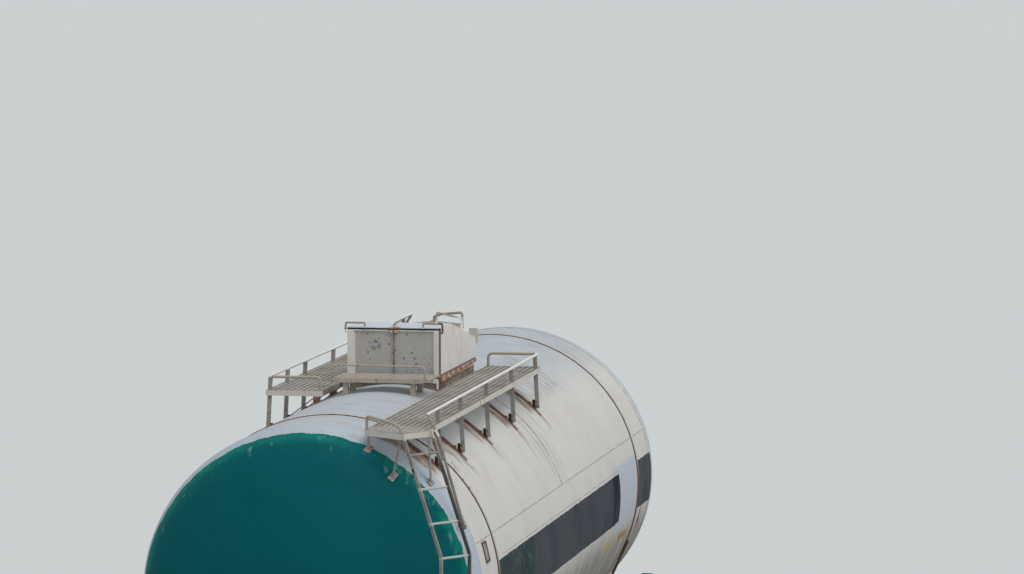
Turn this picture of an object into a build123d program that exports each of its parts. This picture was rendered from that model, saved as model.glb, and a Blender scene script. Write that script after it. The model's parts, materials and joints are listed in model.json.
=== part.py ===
from build123d import *
from math import asin, copysign, cos, degrees, radians, sin, sqrt
import os

os.makedirs("parts", exist_ok=True)

# Four-axle railway tank car for liquefied gas, standing on its wheel flanges.
# Millimetres, +Z up, +X along the car from end A to end B, +Y its left side.
# The origin is under the middle of the car, at the foot of the wheel flanges.

# Wheels and axles; rail_z is where the rail head would touch the treads
rail_z = 28
wheel_radius = 478.5
flange_radius = wheel_radius + rail_z
axle_z = rail_z + wheel_radius
wheel_back = 720
rim_width = 130
hub_bore = 97
journal_radius = 65
axle_half = 1147

# Lengths of the car
bolster_x = 3900
wheelbase_half = 925
coupling_x = 6010
frame_half = 5400

# Frame
sill_top = rail_z + 1215
sill_height = 310
sill_bottom = sill_top - sill_height
sill_web_y = 175
side_sill_y = 1440
side_sill_height = 200
side_sill_width = 76
end_sill_height = 300
plate = 12
coupler_z = rail_z + 1060
bowl_z = rail_z + 806
side_bearing_y = 762
side_bearing_gap = 10

# Tank: a cylinder along X with dished heads; many heights below are measured from its axis
tank_radius = 1515
tank_z = rail_z + 2800
shell_half = 4794
crown_radius = 2739
knuckle_radius = 524
knuckle_turn = degrees(asin((tank_radius - knuckle_radius) / (crown_radius - knuckle_radius)))
head_depth = crown_radius - sqrt((crown_radius - knuckle_radius) ** 2 - (tank_radius - knuckle_radius) ** 2)
tank_axis = Axis((0, 0, tank_z), (1, 0, 0))

# Straps: a band over the tank and a threaded rod down from each end of it
strap_width = 66
strap_thickness = 6
strap_drop = 25
rod_radius = 14
rod_length = 600
rod_lap = 60

# Saddles under the tank
saddle_clear = 40
saddle_half = 140
saddle_inner = 380
saddle_outer = 1240

# Bogies
spring_y = 1018
frame_web = 50
frame_thickness = 130
spring_foot = rail_z + 270
spring_top = rail_z + 490
spring_radius = 78
seat_half = 200
bolster_half = 200
box_back = 925
box_depth = 200
box_cover = 125
journal_gap = 2
shoe_gap = 10
shoe_y = 803
beam_z = 400
beam_x = wheelbase_half - 590

# Hood over the valves, heights from the tank's axis
hood_front = -1200
hood_rear = 600
hood_knee = -660
hood_half = 440
hood_bottom = 1530
hood_low = 1800
hood_high = 2050
hood_recess = 15
sheet = 6
loop_radius = 9
hinge_x = hood_rear + 26
hinge_z = hood_bottom + 30
pin_radius = 10
manhole_x = -450
cover_top = 1640

# Walkways along the top, heights from the tank's axis
deck_top = 1515
deck_inner = 530
deck_outer = 1070
landing_start = 4700
slat_width = 37
slat_count = 9
slat_thickness = 8
edge_height = 50
hand_rail = 1640
rail_radius = 13
rail_y = 1040
post_width = 40
post_thickness = 10
post_foot = 1122
post_foot_y = 1056
post_top_y = 1030
doubler_width = 70
doubler_thickness = 5
landing_turn = 35
landing_width = 332
ladder_width = 342
ladder_depth = 36
ladder_kink = 450
ladder_lean = 340
rung_pitch = 298
rung_radius = 11

ends = (("a", -1), ("b", 1))


def across(x, z=tank_z):
    """Plane square to the car at x, drawn as (Y, Z) from height z."""
    return Plane(origin=(x, 0, z), x_dir=(0, 1, 0), z_dir=(1, 0, 0))


def along(y, x=0, z=0):
    """Plane along the car at y, drawn as (X, Z) from the point x, z."""
    return Plane(origin=(x, y, z), x_dir=(1, 0, 0), z_dir=(0, -1, 0))


def on_tank(x, y):
    """Plane 1 mm over the tank's skin above the point x, y, its normal pointing outwards."""
    sine = max(0, abs(x) - shell_half) / knuckle_radius
    cosine = sqrt(1 - sine ** 2)
    reach = tank_radius - knuckle_radius + knuckle_radius * cosine
    height = sqrt(reach ** 2 - y ** 2)
    normal = Vector(copysign(sine, x), y / reach * cosine, height / reach * cosine)
    return Plane(origin=Vector(x, y, tank_z + height) + normal, x_dir=(1, 0, 0), z_dir=normal)


def bar(points, radius, bend):
    """Round bar through the points, bent to one radius at each corner."""
    with BuildPart(mode=Mode.PRIVATE) as piece:
        with BuildLine() as route:
            FilletPolyline(*points, radius=bend)
        with BuildSketch(Plane(origin=route.line @ 0, z_dir=route.line % 0)):
            Circle(radius)
        sweep(path=route.line)
    return piece.part


def rod(start, finish, radius):
    """Straight round rod between two points."""
    with BuildPart(mode=Mode.PRIVATE) as piece:
        with BuildSketch(Plane(origin=start, z_dir=finish - start)):
            Circle(radius)
        extrude(amount=(finish - start).length)
    return piece.part


def flat(start, finish, width_way, width, thickness):
    """Straight flat bar between two points, its width along width_way."""
    with BuildPart(mode=Mode.PRIVATE) as piece:
        with BuildSketch(Plane(origin=start, x_dir=width_way, z_dir=finish - start)):
            Rectangle(width, thickness)
        extrude(amount=(finish - start).length)
    return piece.part


def doubler(x, inner_y, outer_y):
    """Strip of plate bent round the tank's skin at x, from one y to another."""
    inner, outer = asin(inner_y / tank_radius), asin(outer_y / tank_radius)
    reach = 2 * tank_radius
    with BuildPart(mode=Mode.PRIVATE) as piece:
        with BuildSketch(across(x - doubler_width / 2)):
            Circle(tank_radius + 1 + doubler_thickness)
            Circle(tank_radius + 1, mode=Mode.SUBTRACT)
            with BuildLine():
                Polyline((0, 0), (reach * sin(inner), reach * cos(inner)), (reach * sin(outer), reach * cos(outer)),
                         close=True)
            make_face(mode=Mode.INTERSECT)
        extrude(amount=doubler_width)
    return piece.part


def tank_room(clear):
    """The shell's own room and a little more, cut from what stands on the tank."""
    with BuildPart(mode=Mode.PRIVATE) as piece:
        with BuildSketch(across(-frame_half)):
            Circle(tank_radius + clear)
        extrude(amount=2 * frame_half)
    return piece.part


# Tank: half a profile turned about the axis and mirrored, with the lug on its crown
with BuildPart() as tank:
    with BuildSketch(along(0, z=tank_z)):
        with BuildLine():
            Line((0, 0), (0, tank_radius))
            Line((0, tank_radius), (shell_half, tank_radius))
            CenterArc((shell_half, tank_radius - knuckle_radius), knuckle_radius,
                      knuckle_turn, 90 - knuckle_turn)
            CenterArc((shell_half + head_depth - crown_radius, 0), crown_radius, 0, knuckle_turn)
            Line((shell_half + head_depth, 0), (0, 0))
        make_face()
    revolve(axis=tank_axis)
    mirror(about=Plane.YZ)
    with Locations((3000, 40, tank_z + tank_radius + 60)):
        Box(16, 90, 180)
tank.part.label = "tank"
export_step(tank.part, "parts/tank.step")

# Straps: the band's end meets a rod that runs on along the tangent to an anchor on the saddle
band_radius = tank_radius + 1
band_end = Vector(cos(radians(strap_drop)), -sin(radians(strap_drop)))
band_down = Vector(-sin(radians(strap_drop)), -cos(radians(strap_drop)))
rod_start = band_end * (band_radius + rod_radius + 1) - band_down * rod_lap
anchor = rod_start + band_down * (rod_length - 60)


def rod_point(way, side, distance):
    """Point on a strap's rod, at a distance below its upper end."""
    place = rod_start + band_down * distance
    return Vector(way * bolster_x, side * place.X, tank_z + place.Y)


with BuildPart() as straps:
    for end, way in ends:
        with BuildSketch(across(way * bolster_x)):
            Circle(band_radius + strap_thickness)
            Circle(band_radius, mode=Mode.SUBTRACT)
            with Locations((0, band_end.Y * tank_radius - tank_radius)):
                Rectangle(4 * tank_radius, 2 * tank_radius, mode=Mode.SUBTRACT)
        extrude(amount=strap_width / 2, both=True)
        for side in (-1, 1):
            add(rod(rod_point(way, side, 0), rod_point(way, side, rod_length), rod_radius))
            add(rod(rod_point(way, side, rod_length - 32), rod_point(way, side, rod_length - 8), 26))
straps.part.label = "tank_straps"
export_step(straps.part, "parts/tank_straps.step")

# Saddles: a pair of shaped plates on each side of a bolster, with a floor plate and the rod's anchor
with BuildPart() as saddles:
    for end, way in ends:
        for side in (-1, 1):
            for station in (-saddle_half, saddle_half - plate):
                with BuildSketch(across(way * bolster_x + station)):
                    with BuildLine():
                        Polyline((side * saddle_inner, sill_top - tank_z),
                                 (side * saddle_outer, sill_top - tank_z),
                                 (side * (saddle_outer + 120), -1060), (side * (saddle_outer + 10), -1010),
                                 (side * saddle_inner, -1010), close=True)
                    make_face()
                    Circle(tank_radius + saddle_clear, mode=Mode.SUBTRACT)
                extrude(amount=plate)
            with Locations((way * bolster_x, side * (saddle_inner + saddle_outer) / 2, sill_top + plate / 2)):
                Box(2 * saddle_half, saddle_outer - saddle_inner, plate)
            with Locations((way * bolster_x, side * anchor.X, tank_z + anchor.Y)):
                Box(2 * saddle_half, 120, 2 * plate)
            add(rod(rod_point(way, side, 0), rod_point(way, side, 2 * rod_length), rod_radius + 1.5),
                mode=Mode.SUBTRACT)
saddles.part.label = "saddles"
export_step(saddles.part, "parts/saddles.step")

# Timbers between the saddles and the tank
with BuildPart() as timbers:
    for end, way in ends:
        for side in (-1, 1):
            with BuildSketch(across(way * bolster_x)):
                Circle(tank_radius + saddle_clear)
                Circle(tank_radius + 1, mode=Mode.SUBTRACT)
                with Locations((side * 820, -1240)):
                    Rectangle(560, 560, mode=Mode.INTERSECT)
            extrude(amount=saddle_half - 15, both=True)
timbers.part.label = "saddle_timbers"
export_step(timbers.part, "parts/saddle_timbers.step")

# Middle supports: bent feet that tie the tank's belly to the centre sill
foot_gap = sill_top - tank_z
with BuildPart() as middle_supports:
    for side in (-1, 1):
        with BuildSketch(across(-800)):
            with BuildLine():
                Polyline((side * 190, foot_gap), (side * 330, foot_gap), (side * 330, foot_gap + plate),
                         (side * 260, foot_gap + plate), (side * 540, -1395), (side * 520, -1370),
                         (side * 190, -1470), close=True)
            make_face()
            Circle(tank_radius + 2, mode=Mode.SUBTRACT)
        extrude(amount=1600)
middle_supports.part.label = "middle_supports"
export_step(middle_supports.part, "parts/middle_supports.step")

# Centre sill: two webs under a top plate, outward flanges at the foot, and the round pivot plates
with BuildPart() as centre_sill:
    with BuildSketch(across(-frame_half + plate, z=0)):
        with Locations((0, sill_top - plate / 2)):
            Rectangle(480, plate)
        for side in (-1, 1):
            with Locations((side * sill_web_y, sill_top - sill_height / 2)):
                Rectangle(plate, sill_height)
            with Locations((side * (sill_web_y + 60), sill_bottom + plate / 2)):
                Rectangle(120, plate)
    extrude(amount=2 * (frame_half - plate))
    for end, way in ends:
        with Locations((way * bolster_x, 0, sill_bottom + plate / 2)):
            Box(420, 2 * sill_web_y, plate)
        with BuildSketch(Plane.XY.offset(bowl_z + 1)):
            with Locations((way * bolster_x, 0)):
                Circle(150)
        extrude(amount=sill_bottom - bowl_z)
centre_sill.part.label = "centre_sill"
export_step(centre_sill.part, "parts/centre_sill.step")

# Side sills: channels with their webs outside
sill_inner = side_sill_y - side_sill_width
sill_foot = sill_top - side_sill_height
with BuildPart() as side_sills:
    for side in (-1, 1):
        with BuildSketch(across(-frame_half + plate, z=0)):
            with BuildLine():
                Polyline((side * sill_inner, sill_top), (side * side_sill_y, sill_top),
                         (side * side_sill_y, sill_foot), (side * sill_inner, sill_foot),
                         (side * sill_inner, sill_foot + plate), (side * (side_sill_y - 8), sill_foot + plate),
                         (side * (side_sill_y - 8), sill_top - plate), (side * sill_inner, sill_top - plate),
                         close=True)
            make_face()
        extrude(amount=2 * (frame_half - plate))
side_sills.part.label = "side_sills"
export_step(side_sills.part, "parts/side_sills.step")

# Bolsters: box arms from the centre sill to the side sills, shallower outwards, with side bearings
arm_inner = sill_web_y + plate / 2
bearing_foot = sill_bottom - 40
with BuildPart() as bolsters:
    for end, way in ends:
        for side in (-1, 1):
            with BuildSketch(across(way * bolster_x, z=0)):
                with BuildLine():
                    Polyline((side * arm_inner, sill_top - plate), (side * 240, sill_top - plate),
                             (side * 240, sill_top), (side * sill_inner, sill_top),
                             (side * sill_inner, sill_foot), (side * 900, sill_bottom + plate),
                             (side * arm_inner, sill_bottom + plate), close=True)
                make_face()
            extrude(amount=150, both=True)
            with Locations((way * bolster_x, side * side_bearing_y, (bearing_foot + sill_bottom + 30) / 2)):
                Box(200, 110, sill_bottom + 30 - bearing_foot)
bolsters.part.label = "bolsters"
export_step(bolsters.part, "parts/bolsters.step")

# Cross bearers: I-beams between the centre sill and the side sills
bearer_middle = (arm_inner + sill_inner) / 2
bearer_length = sill_inner - arm_inner
with BuildPart() as cross_bearers:
    for x in (-2400, -1300, 1300, 2400):
        for side in (-1, 1):
            with Locations((x, side * bearer_middle, sill_top - 105)):
                Box(10, bearer_length, 170)
            for level in (sill_top - 20, sill_top - 185):
                with Locations((x, side * bearer_middle, level)):
                    Box(80, bearer_length, 10)
cross_bearers.part.label = "cross_bearers"
export_step(cross_bearers.part, "parts/cross_bearers.step")

# End sills: deep bent channels across the car, a striker round the coupler and eyes for the lever
lever_x = frame_half + 45
lever_z = sill_top - 55
lever_radius = 12
with BuildPart() as end_sills:
    for end, way in ends:
        with Locations((way * (frame_half - plate / 2), 0, sill_top - end_sill_height / 2)):
            Box(plate, 2 * side_sill_y, end_sill_height)
        with Locations((way * (frame_half - 75), 0, sill_top + plate / 2)):
            Box(150, 2 * side_sill_y, plate)
        for side in (-1, 1):
            with Locations((way * (frame_half - 75), side * (side_sill_y + 320) / 2,
                            sill_top - end_sill_height + plate / 2)):
                Box(150, side_sill_y - 320, plate)
        with BuildSketch(across(way * (frame_half + 60), z=coupler_z)):
            RectangleRounded(420, 330, 40)
            Rectangle(250, 220, mode=Mode.SUBTRACT)
        extrude(amount=60, both=True)
        with Locations((way * frame_half, 0, coupler_z)):
            Box(60, 250, 220, mode=Mode.SUBTRACT)
        for y in (300, 1250):
            with Locations((way * (frame_half + 35), way * y, lever_z)):
                Box(70, 14, 60)
        add(rod(Vector(way * lever_x, way * 200, lever_z), Vector(way * lever_x, way * 1400, lever_z),
                lever_radius + 2), mode=Mode.SUBTRACT)
end_sills.part.label = "end_sills"
export_step(end_sills.part, "parts/end_sills.step")

# Couplers: shank, head with a large and a small tooth, and the lock between them.
# The outlines are drawn from above, X to the nose from the coupling face: (x, y)
head_outline = ((-430, -66), (-360, -150), (-110, -205), (-24, -180), (-18, -108), (-60, -84), (-160, -70),
                (-160, 34), (-60, 92), (52, 84), (96, 104), (108, 190), (36, 236), (-200, 218), (-360, 150),
                (-430, 66))
large_tooth = ((-160, 40), (-60, 92), (52, 84), (96, 104), (108, 190), (36, 236), (-190, 216))
lock_outline = ((-166, -62), (-74, -50), (-74, 26), (-166, 20))
coupler_layers = ((head_outline, 120), (large_tooth, 160), (lock_outline, 85))
with BuildPart() as couplers:
    for end, way in ends:
        head_plane = Plane(origin=(way * coupling_x, 0, coupler_z), x_dir=(way, 0, 0), z_dir=(0, 0, 1))
        for outline, half_height in coupler_layers:
            with BuildSketch(head_plane):
                with BuildLine():
                    Polyline(*outline, close=True)
                make_face()
            extrude(amount=half_height, both=True)
        with BuildSketch(head_plane):
            with Locations((-690, 0)):
                Rectangle(580, 130)
        extrude(amount=80, both=True)
couplers.part.label = "couplers"
export_step(couplers.part, "parts/couplers.step")

# Draft gears: a block at each end, close between the webs of the centre sill, with its support plate
with BuildPart() as draft_gears:
    for end, way in ends:
        with Locations((way * (coupling_x - 1300), 0, coupler_z)):
            Box(640, 2 * arm_inner - 2 * plate - 4, 230)
        with Locations((way * (coupling_x - 1300), 0, coupler_z - 135)):
            Box(500, 200, 40)
draft_gears.part.label = "draft_gears"
export_step(draft_gears.part, "parts/draft_gears.step")

# Uncoupling levers: a rod across each end, cranked to the coupler and bent down to a handle
crank_x = lever_x + 110
link_radius = 6
with BuildPart() as levers:
    for end, way in ends:
        add(bar([Vector(way * crank_x, way * 60, lever_z + 10),
                 Vector(way * crank_x, way * 230, lever_z + 10),
                 Vector(way * lever_x, way * 275, lever_z),
                 Vector(way * lever_x, way * 1330, lever_z),
                 Vector(way * (lever_x + 10), way * 1390, lever_z - 60),
                 Vector(way * (lever_x + 10), way * 1390, lever_z - 330)], lever_radius, 20))
        add(bar([Vector(way * crank_x, way * 70, lever_z + 15),
                 Vector(way * (crank_x + 5), way * 70, lever_z + 55),
                 Vector(way * (crank_x + 85), way * 70, lever_z + 55),
                 Vector(way * (crank_x + 95), way * 70, coupler_z + 123)], link_radius, 8))
levers.part.label = "uncoupling_levers"
export_step(levers.part, "parts/uncoupling_levers.step")

# Corner handholds: a pole at each corner of the frame, bent in at its top, with two steps on its foot
pole_radius = 14
pole_x = frame_half - 28
pole_y = side_sill_y + pole_radius
step_x = 5050
with BuildPart() as corner_steps:
    for end, way in ends:
        for side in (-1, 1):
            add(bar([Vector(way * pole_x, side * (pole_y - 130), sill_top + 440),
                     Vector(way * pole_x, side * pole_y, sill_top + 440),
                     Vector(way * pole_x, side * pole_y, sill_top - 640)], pole_radius, 40))
            for x in (step_x, pole_x):
                with Locations((way * x, side * (side_sill_y + 6), sill_top - 320)):
                    Box(50, plate, 620)
            for level in (sill_top - 360, sill_top - 624):
                with Locations((way * (step_x + pole_x) / 2, side * (side_sill_y + 30), level)):
                    Box(pole_x - step_x + 50, 60, plate)
corner_steps.part.label = "corner_steps"
export_step(corner_steps.part, "parts/corner_steps.step")

# Hood: sheet box open below, high in front and sloping back to its hinge. Its front panel lies back
# in an edge frame whose sides reach down to the tank, and bars bent to loops serve as handles
corner_x = hood_front + hood_recess / 2
roof_z = tank_z + hood_high
slope = (hood_high - hood_low) / (hood_rear - hood_knee)
with BuildPart() as hood:
    with BuildSketch(along(0, z=tank_z)):
        with BuildLine():
            Polyline((hood_front + hood_recess, hood_bottom), (hood_front + hood_recess, hood_high),
                     (hood_knee, hood_high), (hood_rear, hood_low), (hood_rear, hood_bottom + 40), close=True)
        make_face()
    extrude(amount=hood_half, both=True)
    offset(amount=-sheet, openings=hood.faces().sort_by(Axis.Z)[0])
    with BuildSketch(across(hood_front)):
        with Locations((0, (hood_bottom + hood_high) / 2)):
            Rectangle(2 * hood_half + 16, hood_high - hood_bottom)
            Rectangle(2 * hood_half - 110, hood_high - hood_bottom - 60, mode=Mode.SUBTRACT)
        for side in (-1, 1):
            with Locations((side * (hood_half - 12), hood_bottom - 28)):
                Rectangle(40, 60)
    extrude(amount=hood_recess)
    with Locations((corner_x, 0, tank_z + (hood_bottom + hood_high) / 2)):
        Box(hood_recess, 24, hood_high - hood_bottom)
    with Locations((hood_front - 8, 0, roof_z - 20)):
        Box(24, 70, 50)
    for side in (-1, 1):
        add(flat(Vector(hood_front + 30, side * (hood_half + 5), tank_z + hood_bottom + 13),
                 Vector(hood_rear - 20, side * (hood_half + 5), tank_z + hood_bottom + 52), (0, 1, 0), 10, 24))
        add(bar([Vector(corner_x, side * (hood_half - 2), roof_z - 50),
                 Vector(corner_x, side * (hood_half + 28), roof_z - 40),
                 Vector(corner_x, side * (hood_half + 22), roof_z + 42),
                 Vector(corner_x, side * (hood_half - 160), roof_z + 42),
                 Vector(corner_x - 24, side * (hood_half - 160), roof_z - 20),
                 Vector(corner_x + 2, side * (hood_half - 160), roof_z - 36)], loop_radius, 10))
        with Locations((hood_rear + 8, side * 300, tank_z + hinge_z + 25)):
            Box(28, 70, 50)
        add(rod(Vector(hinge_x, side * 265, tank_z + hinge_z), Vector(hinge_x, side * 335, tank_z + hinge_z), 20))
        add(rod(Vector(hinge_x, side * 200, tank_z + hinge_z), Vector(hinge_x, side * 400, tank_z + hinge_z),
                pin_radius + 0.5), mode=Mode.SUBTRACT)
    loop_front = roof_z - slope * (-450 - hood_knee)
    loop_rear = roof_z - slope * (100 - hood_knee)
    add(bar([Vector(-450, -260, loop_front - 4), Vector(-450, -260, loop_front + 125),
             Vector(100, -400, loop_rear + 130), Vector(100, -400, loop_rear - 4)], loop_radius, 30))
    add(bar([Vector(hood_front + 60, 20, roof_z - 4), Vector(hood_front + 80, 10, roof_z + 24),
             Vector(hood_front + 240, -30, roof_z + 60)], loop_radius, 8))
hood.part.label = "hood"
export_step(hood.part, "parts/hood.step")

# Collar on the tank that the hood closes on, with the hinge's lugs and pins behind it
collar_gap = 8
collar_front = hood_front + hood_recess + sheet + collar_gap
collar_rear = hood_rear - sheet - collar_gap
with BuildPart() as hood_collar:
    with BuildSketch(Plane.XY.offset(tank_z + 1430)):
        with Locations(((collar_front + collar_rear) / 2, 0)):
            Rectangle(collar_rear - collar_front, 2 * (hood_half - sheet - collar_gap))
            Rectangle(collar_rear - collar_front - 60, 2 * hood_half - 90, mode=Mode.SUBTRACT)
    extrude(amount=hood_bottom + 40 - 1430)
    for side in (-1, 1):
        for y in (240, 360):
            with BuildSketch(along(side * y + 10, x=hinge_x, z=tank_z + hinge_z)):
                Circle(22)
                with Locations((-10, -40)):
                    Rectangle(64, 80)
            extrude(amount=20)
        with Locations((hood_rear + 5, side * 300, tank_z + hood_bottom - 45)):
            Box(60, 140, 50)
        add(rod(Vector(hinge_x, side * 225, tank_z + hinge_z), Vector(hinge_x, side * 375, tank_z + hinge_z),
                pin_radius))
    add(tank_room(0), mode=Mode.SUBTRACT)
hood_collar.part.label = "hood_collar"
export_step(hood_collar.part, "parts/hood_collar.step")

# Manhole neck and its cover, under the hood
with BuildPart() as manhole:
    with BuildSketch(Plane.XY.offset(tank_z + 1440)):
        with Locations((manhole_x, 0)):
            Circle(240)
    extrude(amount=150)
    with BuildSketch(Plane.XY.offset(tank_z + 1590)):
        with Locations((manhole_x, 0)):
            Circle(310)
    extrude(amount=cover_top - 1590)
    add(tank_room(0), mode=Mode.SUBTRACT)
manhole.part.label = "manhole"
export_step(manhole.part, "parts/manhole.step")

# Valves on the cover, flanged at the top; the bored ones take filling hoses: (x, y, radius, height, bore)
valve_table = (
    (-190, 0, 55, 230, 25), (190, 0, 55, 230, 25),
    (0, 190, 40, 170, 0), (0, -190, 40, 170, 0), (0, 0, 65, 280, 0),
)
valve_flange = 30
port_depth = 80
with BuildPart() as valves:
    for x, y, radius, height, bore in valve_table:
        with BuildSketch(Plane.XY.offset(tank_z + cover_top)):
            with Locations((manhole_x + x, y)):
                Circle(radius)
        extrude(amount=height - valve_flange)
        with BuildSketch(Plane.XY.offset(tank_z + cover_top + height - valve_flange)):
            with Locations((manhole_x + x, y)):
                Circle(radius + 20)
        extrude(amount=valve_flange)
        if bore:
            with BuildSketch(Plane.XY.offset(tank_z + cover_top + height)):
                with Locations((manhole_x + x, y)):
                    Circle(bore)
            extrude(amount=-port_depth, mode=Mode.SUBTRACT)
valves.part.label = "valves"
export_step(valves.part, "parts/valves.step")

# Step platform before the hood: slats on two bearers, four legs and a low hoop at its front edge
platform_x = -1690
platform_top = tank_z + 1640
with BuildPart() as step_platform:
    for step in range(6):
        with Locations((platform_x - 200 + step * 80, -30, platform_top - 6)):
            Box(62, 930, 12)
    for y in (-320, 320):
        with Locations((platform_x, y, platform_top - 27)):
            Box(470, 50, 30)
        for x in (platform_x - 180, platform_x + 150):
            with Locations((x, y, tank_z + 1530)):
                Box(50, 50, 190)
    for x in (platform_x - 228, platform_x + 228):
        with Locations((x, -30, platform_top - 20)):
            Box(14, 930, 40)
    add(bar([Vector(platform_x - 228, -440, platform_top - 10), Vector(platform_x - 228, -440, platform_top + 115),
             Vector(platform_x - 228, 420, platform_top + 125), Vector(platform_x - 228, 420, platform_top - 10)],
            loop_radius, 35))
    add(tank_room(1), mode=Mode.SUBTRACT)
step_platform.part.label = "step_platform"
export_step(step_platform.part, "parts/step_platform.step")

# Walkways: slats on bearers inside an edge plate that runs on round the turned landing at the ladder.
# The right one reaches end A and the left one end B: (name, side, way, tail, posts along the car)
walkway_table = (
    ("right", -1, -1, -700, (4303, 3245, 1997, 708, -570)),
    ("left", 1, 1, -1930, (4303, 3245, 2050, 870, -400, -1170, -1900)),
)
# Struts from the tank's skin to the landing: (foot x, foot y, head x, head y)
strut_table = ((5040, 560, 5040, 560), (5150, 800, 5296, 908), (4900, 1080, 4975, 1085))
landing_x = 5345
landing_y = 912
deck_middle = (deck_inner + deck_outer) / 2
slat_pitch = (deck_outer - deck_inner - 40) / slat_count
deck_z = tank_z + deck_top
grip_z = tank_z + hand_rail
for name, side, way, tail, posts in walkway_table:
    near_x = landing_x - landing_width * cos(radians(landing_turn))
    near_y = landing_y + landing_width * sin(radians(landing_turn))
    deck_outline = ((tail, deck_inner), (5050, deck_inner), (landing_x, landing_y), (near_x, near_y),
                    (landing_start, deck_outer), (tail, deck_outer))
    inside_outline = ((tail + 12, deck_inner + 12), (5044, deck_inner + 12), (landing_x - 17, landing_y - 4),
                      (near_x - 3, near_y - 12), (landing_start + 2, deck_outer - 12), (tail + 12, deck_outer - 12))
    rung_way = Vector(-way * cos(radians(landing_turn)), side * sin(radians(landing_turn)))
    out_way = Vector(way * sin(radians(landing_turn)), side * cos(radians(landing_turn)))
    landing_corner = Vector(way * landing_x, side * landing_y)

    with BuildPart() as walkway:
        with BuildSketch(Plane.XY.offset(deck_z - slat_thickness)):
            with BuildLine():
                Polyline(*[(way * x, side * y) for x, y in deck_outline], close=True)
            make_face()
            for gap in range(slat_count + 2):
                with Locations((way * (tail + 5330) / 2, side * (deck_inner + 20 + gap * slat_pitch))):
                    Rectangle(5400 - tail, slat_pitch - slat_width, mode=Mode.SUBTRACT)
        extrude(amount=slat_thickness)
        with BuildSketch(Plane.XY.offset(deck_z - edge_height)):
            with BuildLine():
                Polyline(*[(way * x, side * y) for x, y in deck_outline], close=True)
            make_face()
            with BuildLine():
                Polyline(*[(way * x, side * y) for x, y in inside_outline], close=True)
            make_face(mode=Mode.SUBTRACT)
        extrude(amount=edge_height)
        for x in posts + (tail + 30, landing_start, 5020):
            with Locations((way * x, side * deck_middle, deck_z - slat_thickness - 20)):
                Box(50, deck_outer - deck_inner, 40)
        for x in posts:
            with Locations((way * x, side * (deck_inner + 60), deck_z - 70)):
                Box(50, 60, 100)
            with Locations((way * x, side * 975, tank_z + 1160)):
                Box(40, 36, 50)
            add(flat(Vector(way * x, side * 990, tank_z + 1163), Vector(way * x, side * 600, tank_z + 1460),
                     (1, 0, 0), 40, 8))
            add(doubler(way * x, side * (deck_inner + 20), side * (deck_outer + 20)))
            with Locations((way * x, side * 1037, deck_z - 30)):
                Box(post_thickness + 6, post_width + 8, 80, mode=Mode.SUBTRACT)
        add(tank_room(1), mode=Mode.SUBTRACT)
        for foot_x, foot_y, head_x, head_y in strut_table:
            foot = on_tank(way * foot_x, side * foot_y)
            with BuildSketch(foot):
                Rectangle(100, 60)
            extrude(amount=plate)
            add(flat(foot.origin + foot.z_dir * plate, Vector(way * head_x, side * head_y, deck_z - 12),
                     (1, 0, 0), 50, 10))
    walkway.part.label = f"walkway_{name}"
    export_step(walkway.part, f"parts/walkway_{name}.step")

    # Railing: flat posts across the car, each bolted to a cleat on the doubler and leaning in a little, and
    # one bent tube as the rail. It begins as a hoop over the deck's end and bends down beside the ladder;
    # a second hoop stands at the landing's near end
    with BuildPart() as railing:
        for x in posts:
            with Locations((way * (x - post_thickness), side * (post_foot_y - 30), tank_z + post_foot + 10)):
                Box(post_thickness, 44, 146)
        add(tank_room(doubler_thickness + 2), mode=Mode.SUBTRACT)
        for x in posts:
            add(flat(Vector(way * x, side * post_foot_y, tank_z + post_foot),
                     Vector(way * x, side * post_top_y, grip_z), (1, 0, 0), post_thickness, post_width))
        add(bar([Vector(way * (tail + 20), side * (deck_inner + 20), deck_z),
                 Vector(way * (tail + 20), side * (deck_inner + 20), grip_z),
                 Vector(way * (tail + 20), side * rail_y, grip_z),
                 Vector(way * 4785, side * rail_y, grip_z - 8),
                 Vector(way * 4955, side * 1162, tank_z + 1470),
                 Vector(way * 4966, side * 1360, tank_z + 800)], rail_radius, 45))
        add(bar([Vector(way * 5040, side * (deck_inner + 18), deck_z),
                 Vector(way * 5040, side * (deck_inner + 18), grip_z - 5),
                 Vector(way * 5215, side * 800, grip_z - 40),
                 Vector(way * 5285, side * 899, deck_z + 50),
                 Vector(way * 5285, side * 899, deck_z)], rail_radius, 25))
    railing.part.label = f"railing_{name}"
    export_step(railing.part, f"parts/railing_{name}.step")

    # Ladder: two flat stringers, plumb from the frame to a kink and then leaning in to the landing
    top_corner = landing_corner + out_way * (ladder_depth / 2 + 3)
    lean_way = Vector(0, side * ladder_lean)
    with BuildPart() as ladder:
        for shift, base in ((0, sill_top + plate), (ladder_width, sill_top)):
            top = top_corner + rung_way * shift
            kink = top + lean_way
            joint = Vector(kink.X, kink.Y, tank_z + ladder_kink)
            add(flat(joint, Vector(top.X, top.Y, deck_z), rung_way, 12, ladder_depth))
            add(flat(Vector(kink.X, kink.Y, base + plate), joint, rung_way, 12, ladder_depth))
            with BuildSketch(Plane.XY.offset(base)):
                with Locations((kink.X, kink.Y - side * 25)):
                    Rectangle(90, 110)
            extrude(amount=plate)
        for level in range(-1348, 1400, rung_pitch):
            lean = max(0, (level - ladder_kink) / (deck_top - ladder_kink))
            near = top_corner + lean_way * (1 - lean)
            far = near + rung_way * ladder_width
            add(rod(Vector(near.X, near.Y, tank_z + level), Vector(far.X, far.Y, tank_z + level), rung_radius))
    ladder.part.label = f"ladder_{name}"
    export_step(ladder.part, f"parts/ladder_{name}.step")

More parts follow.
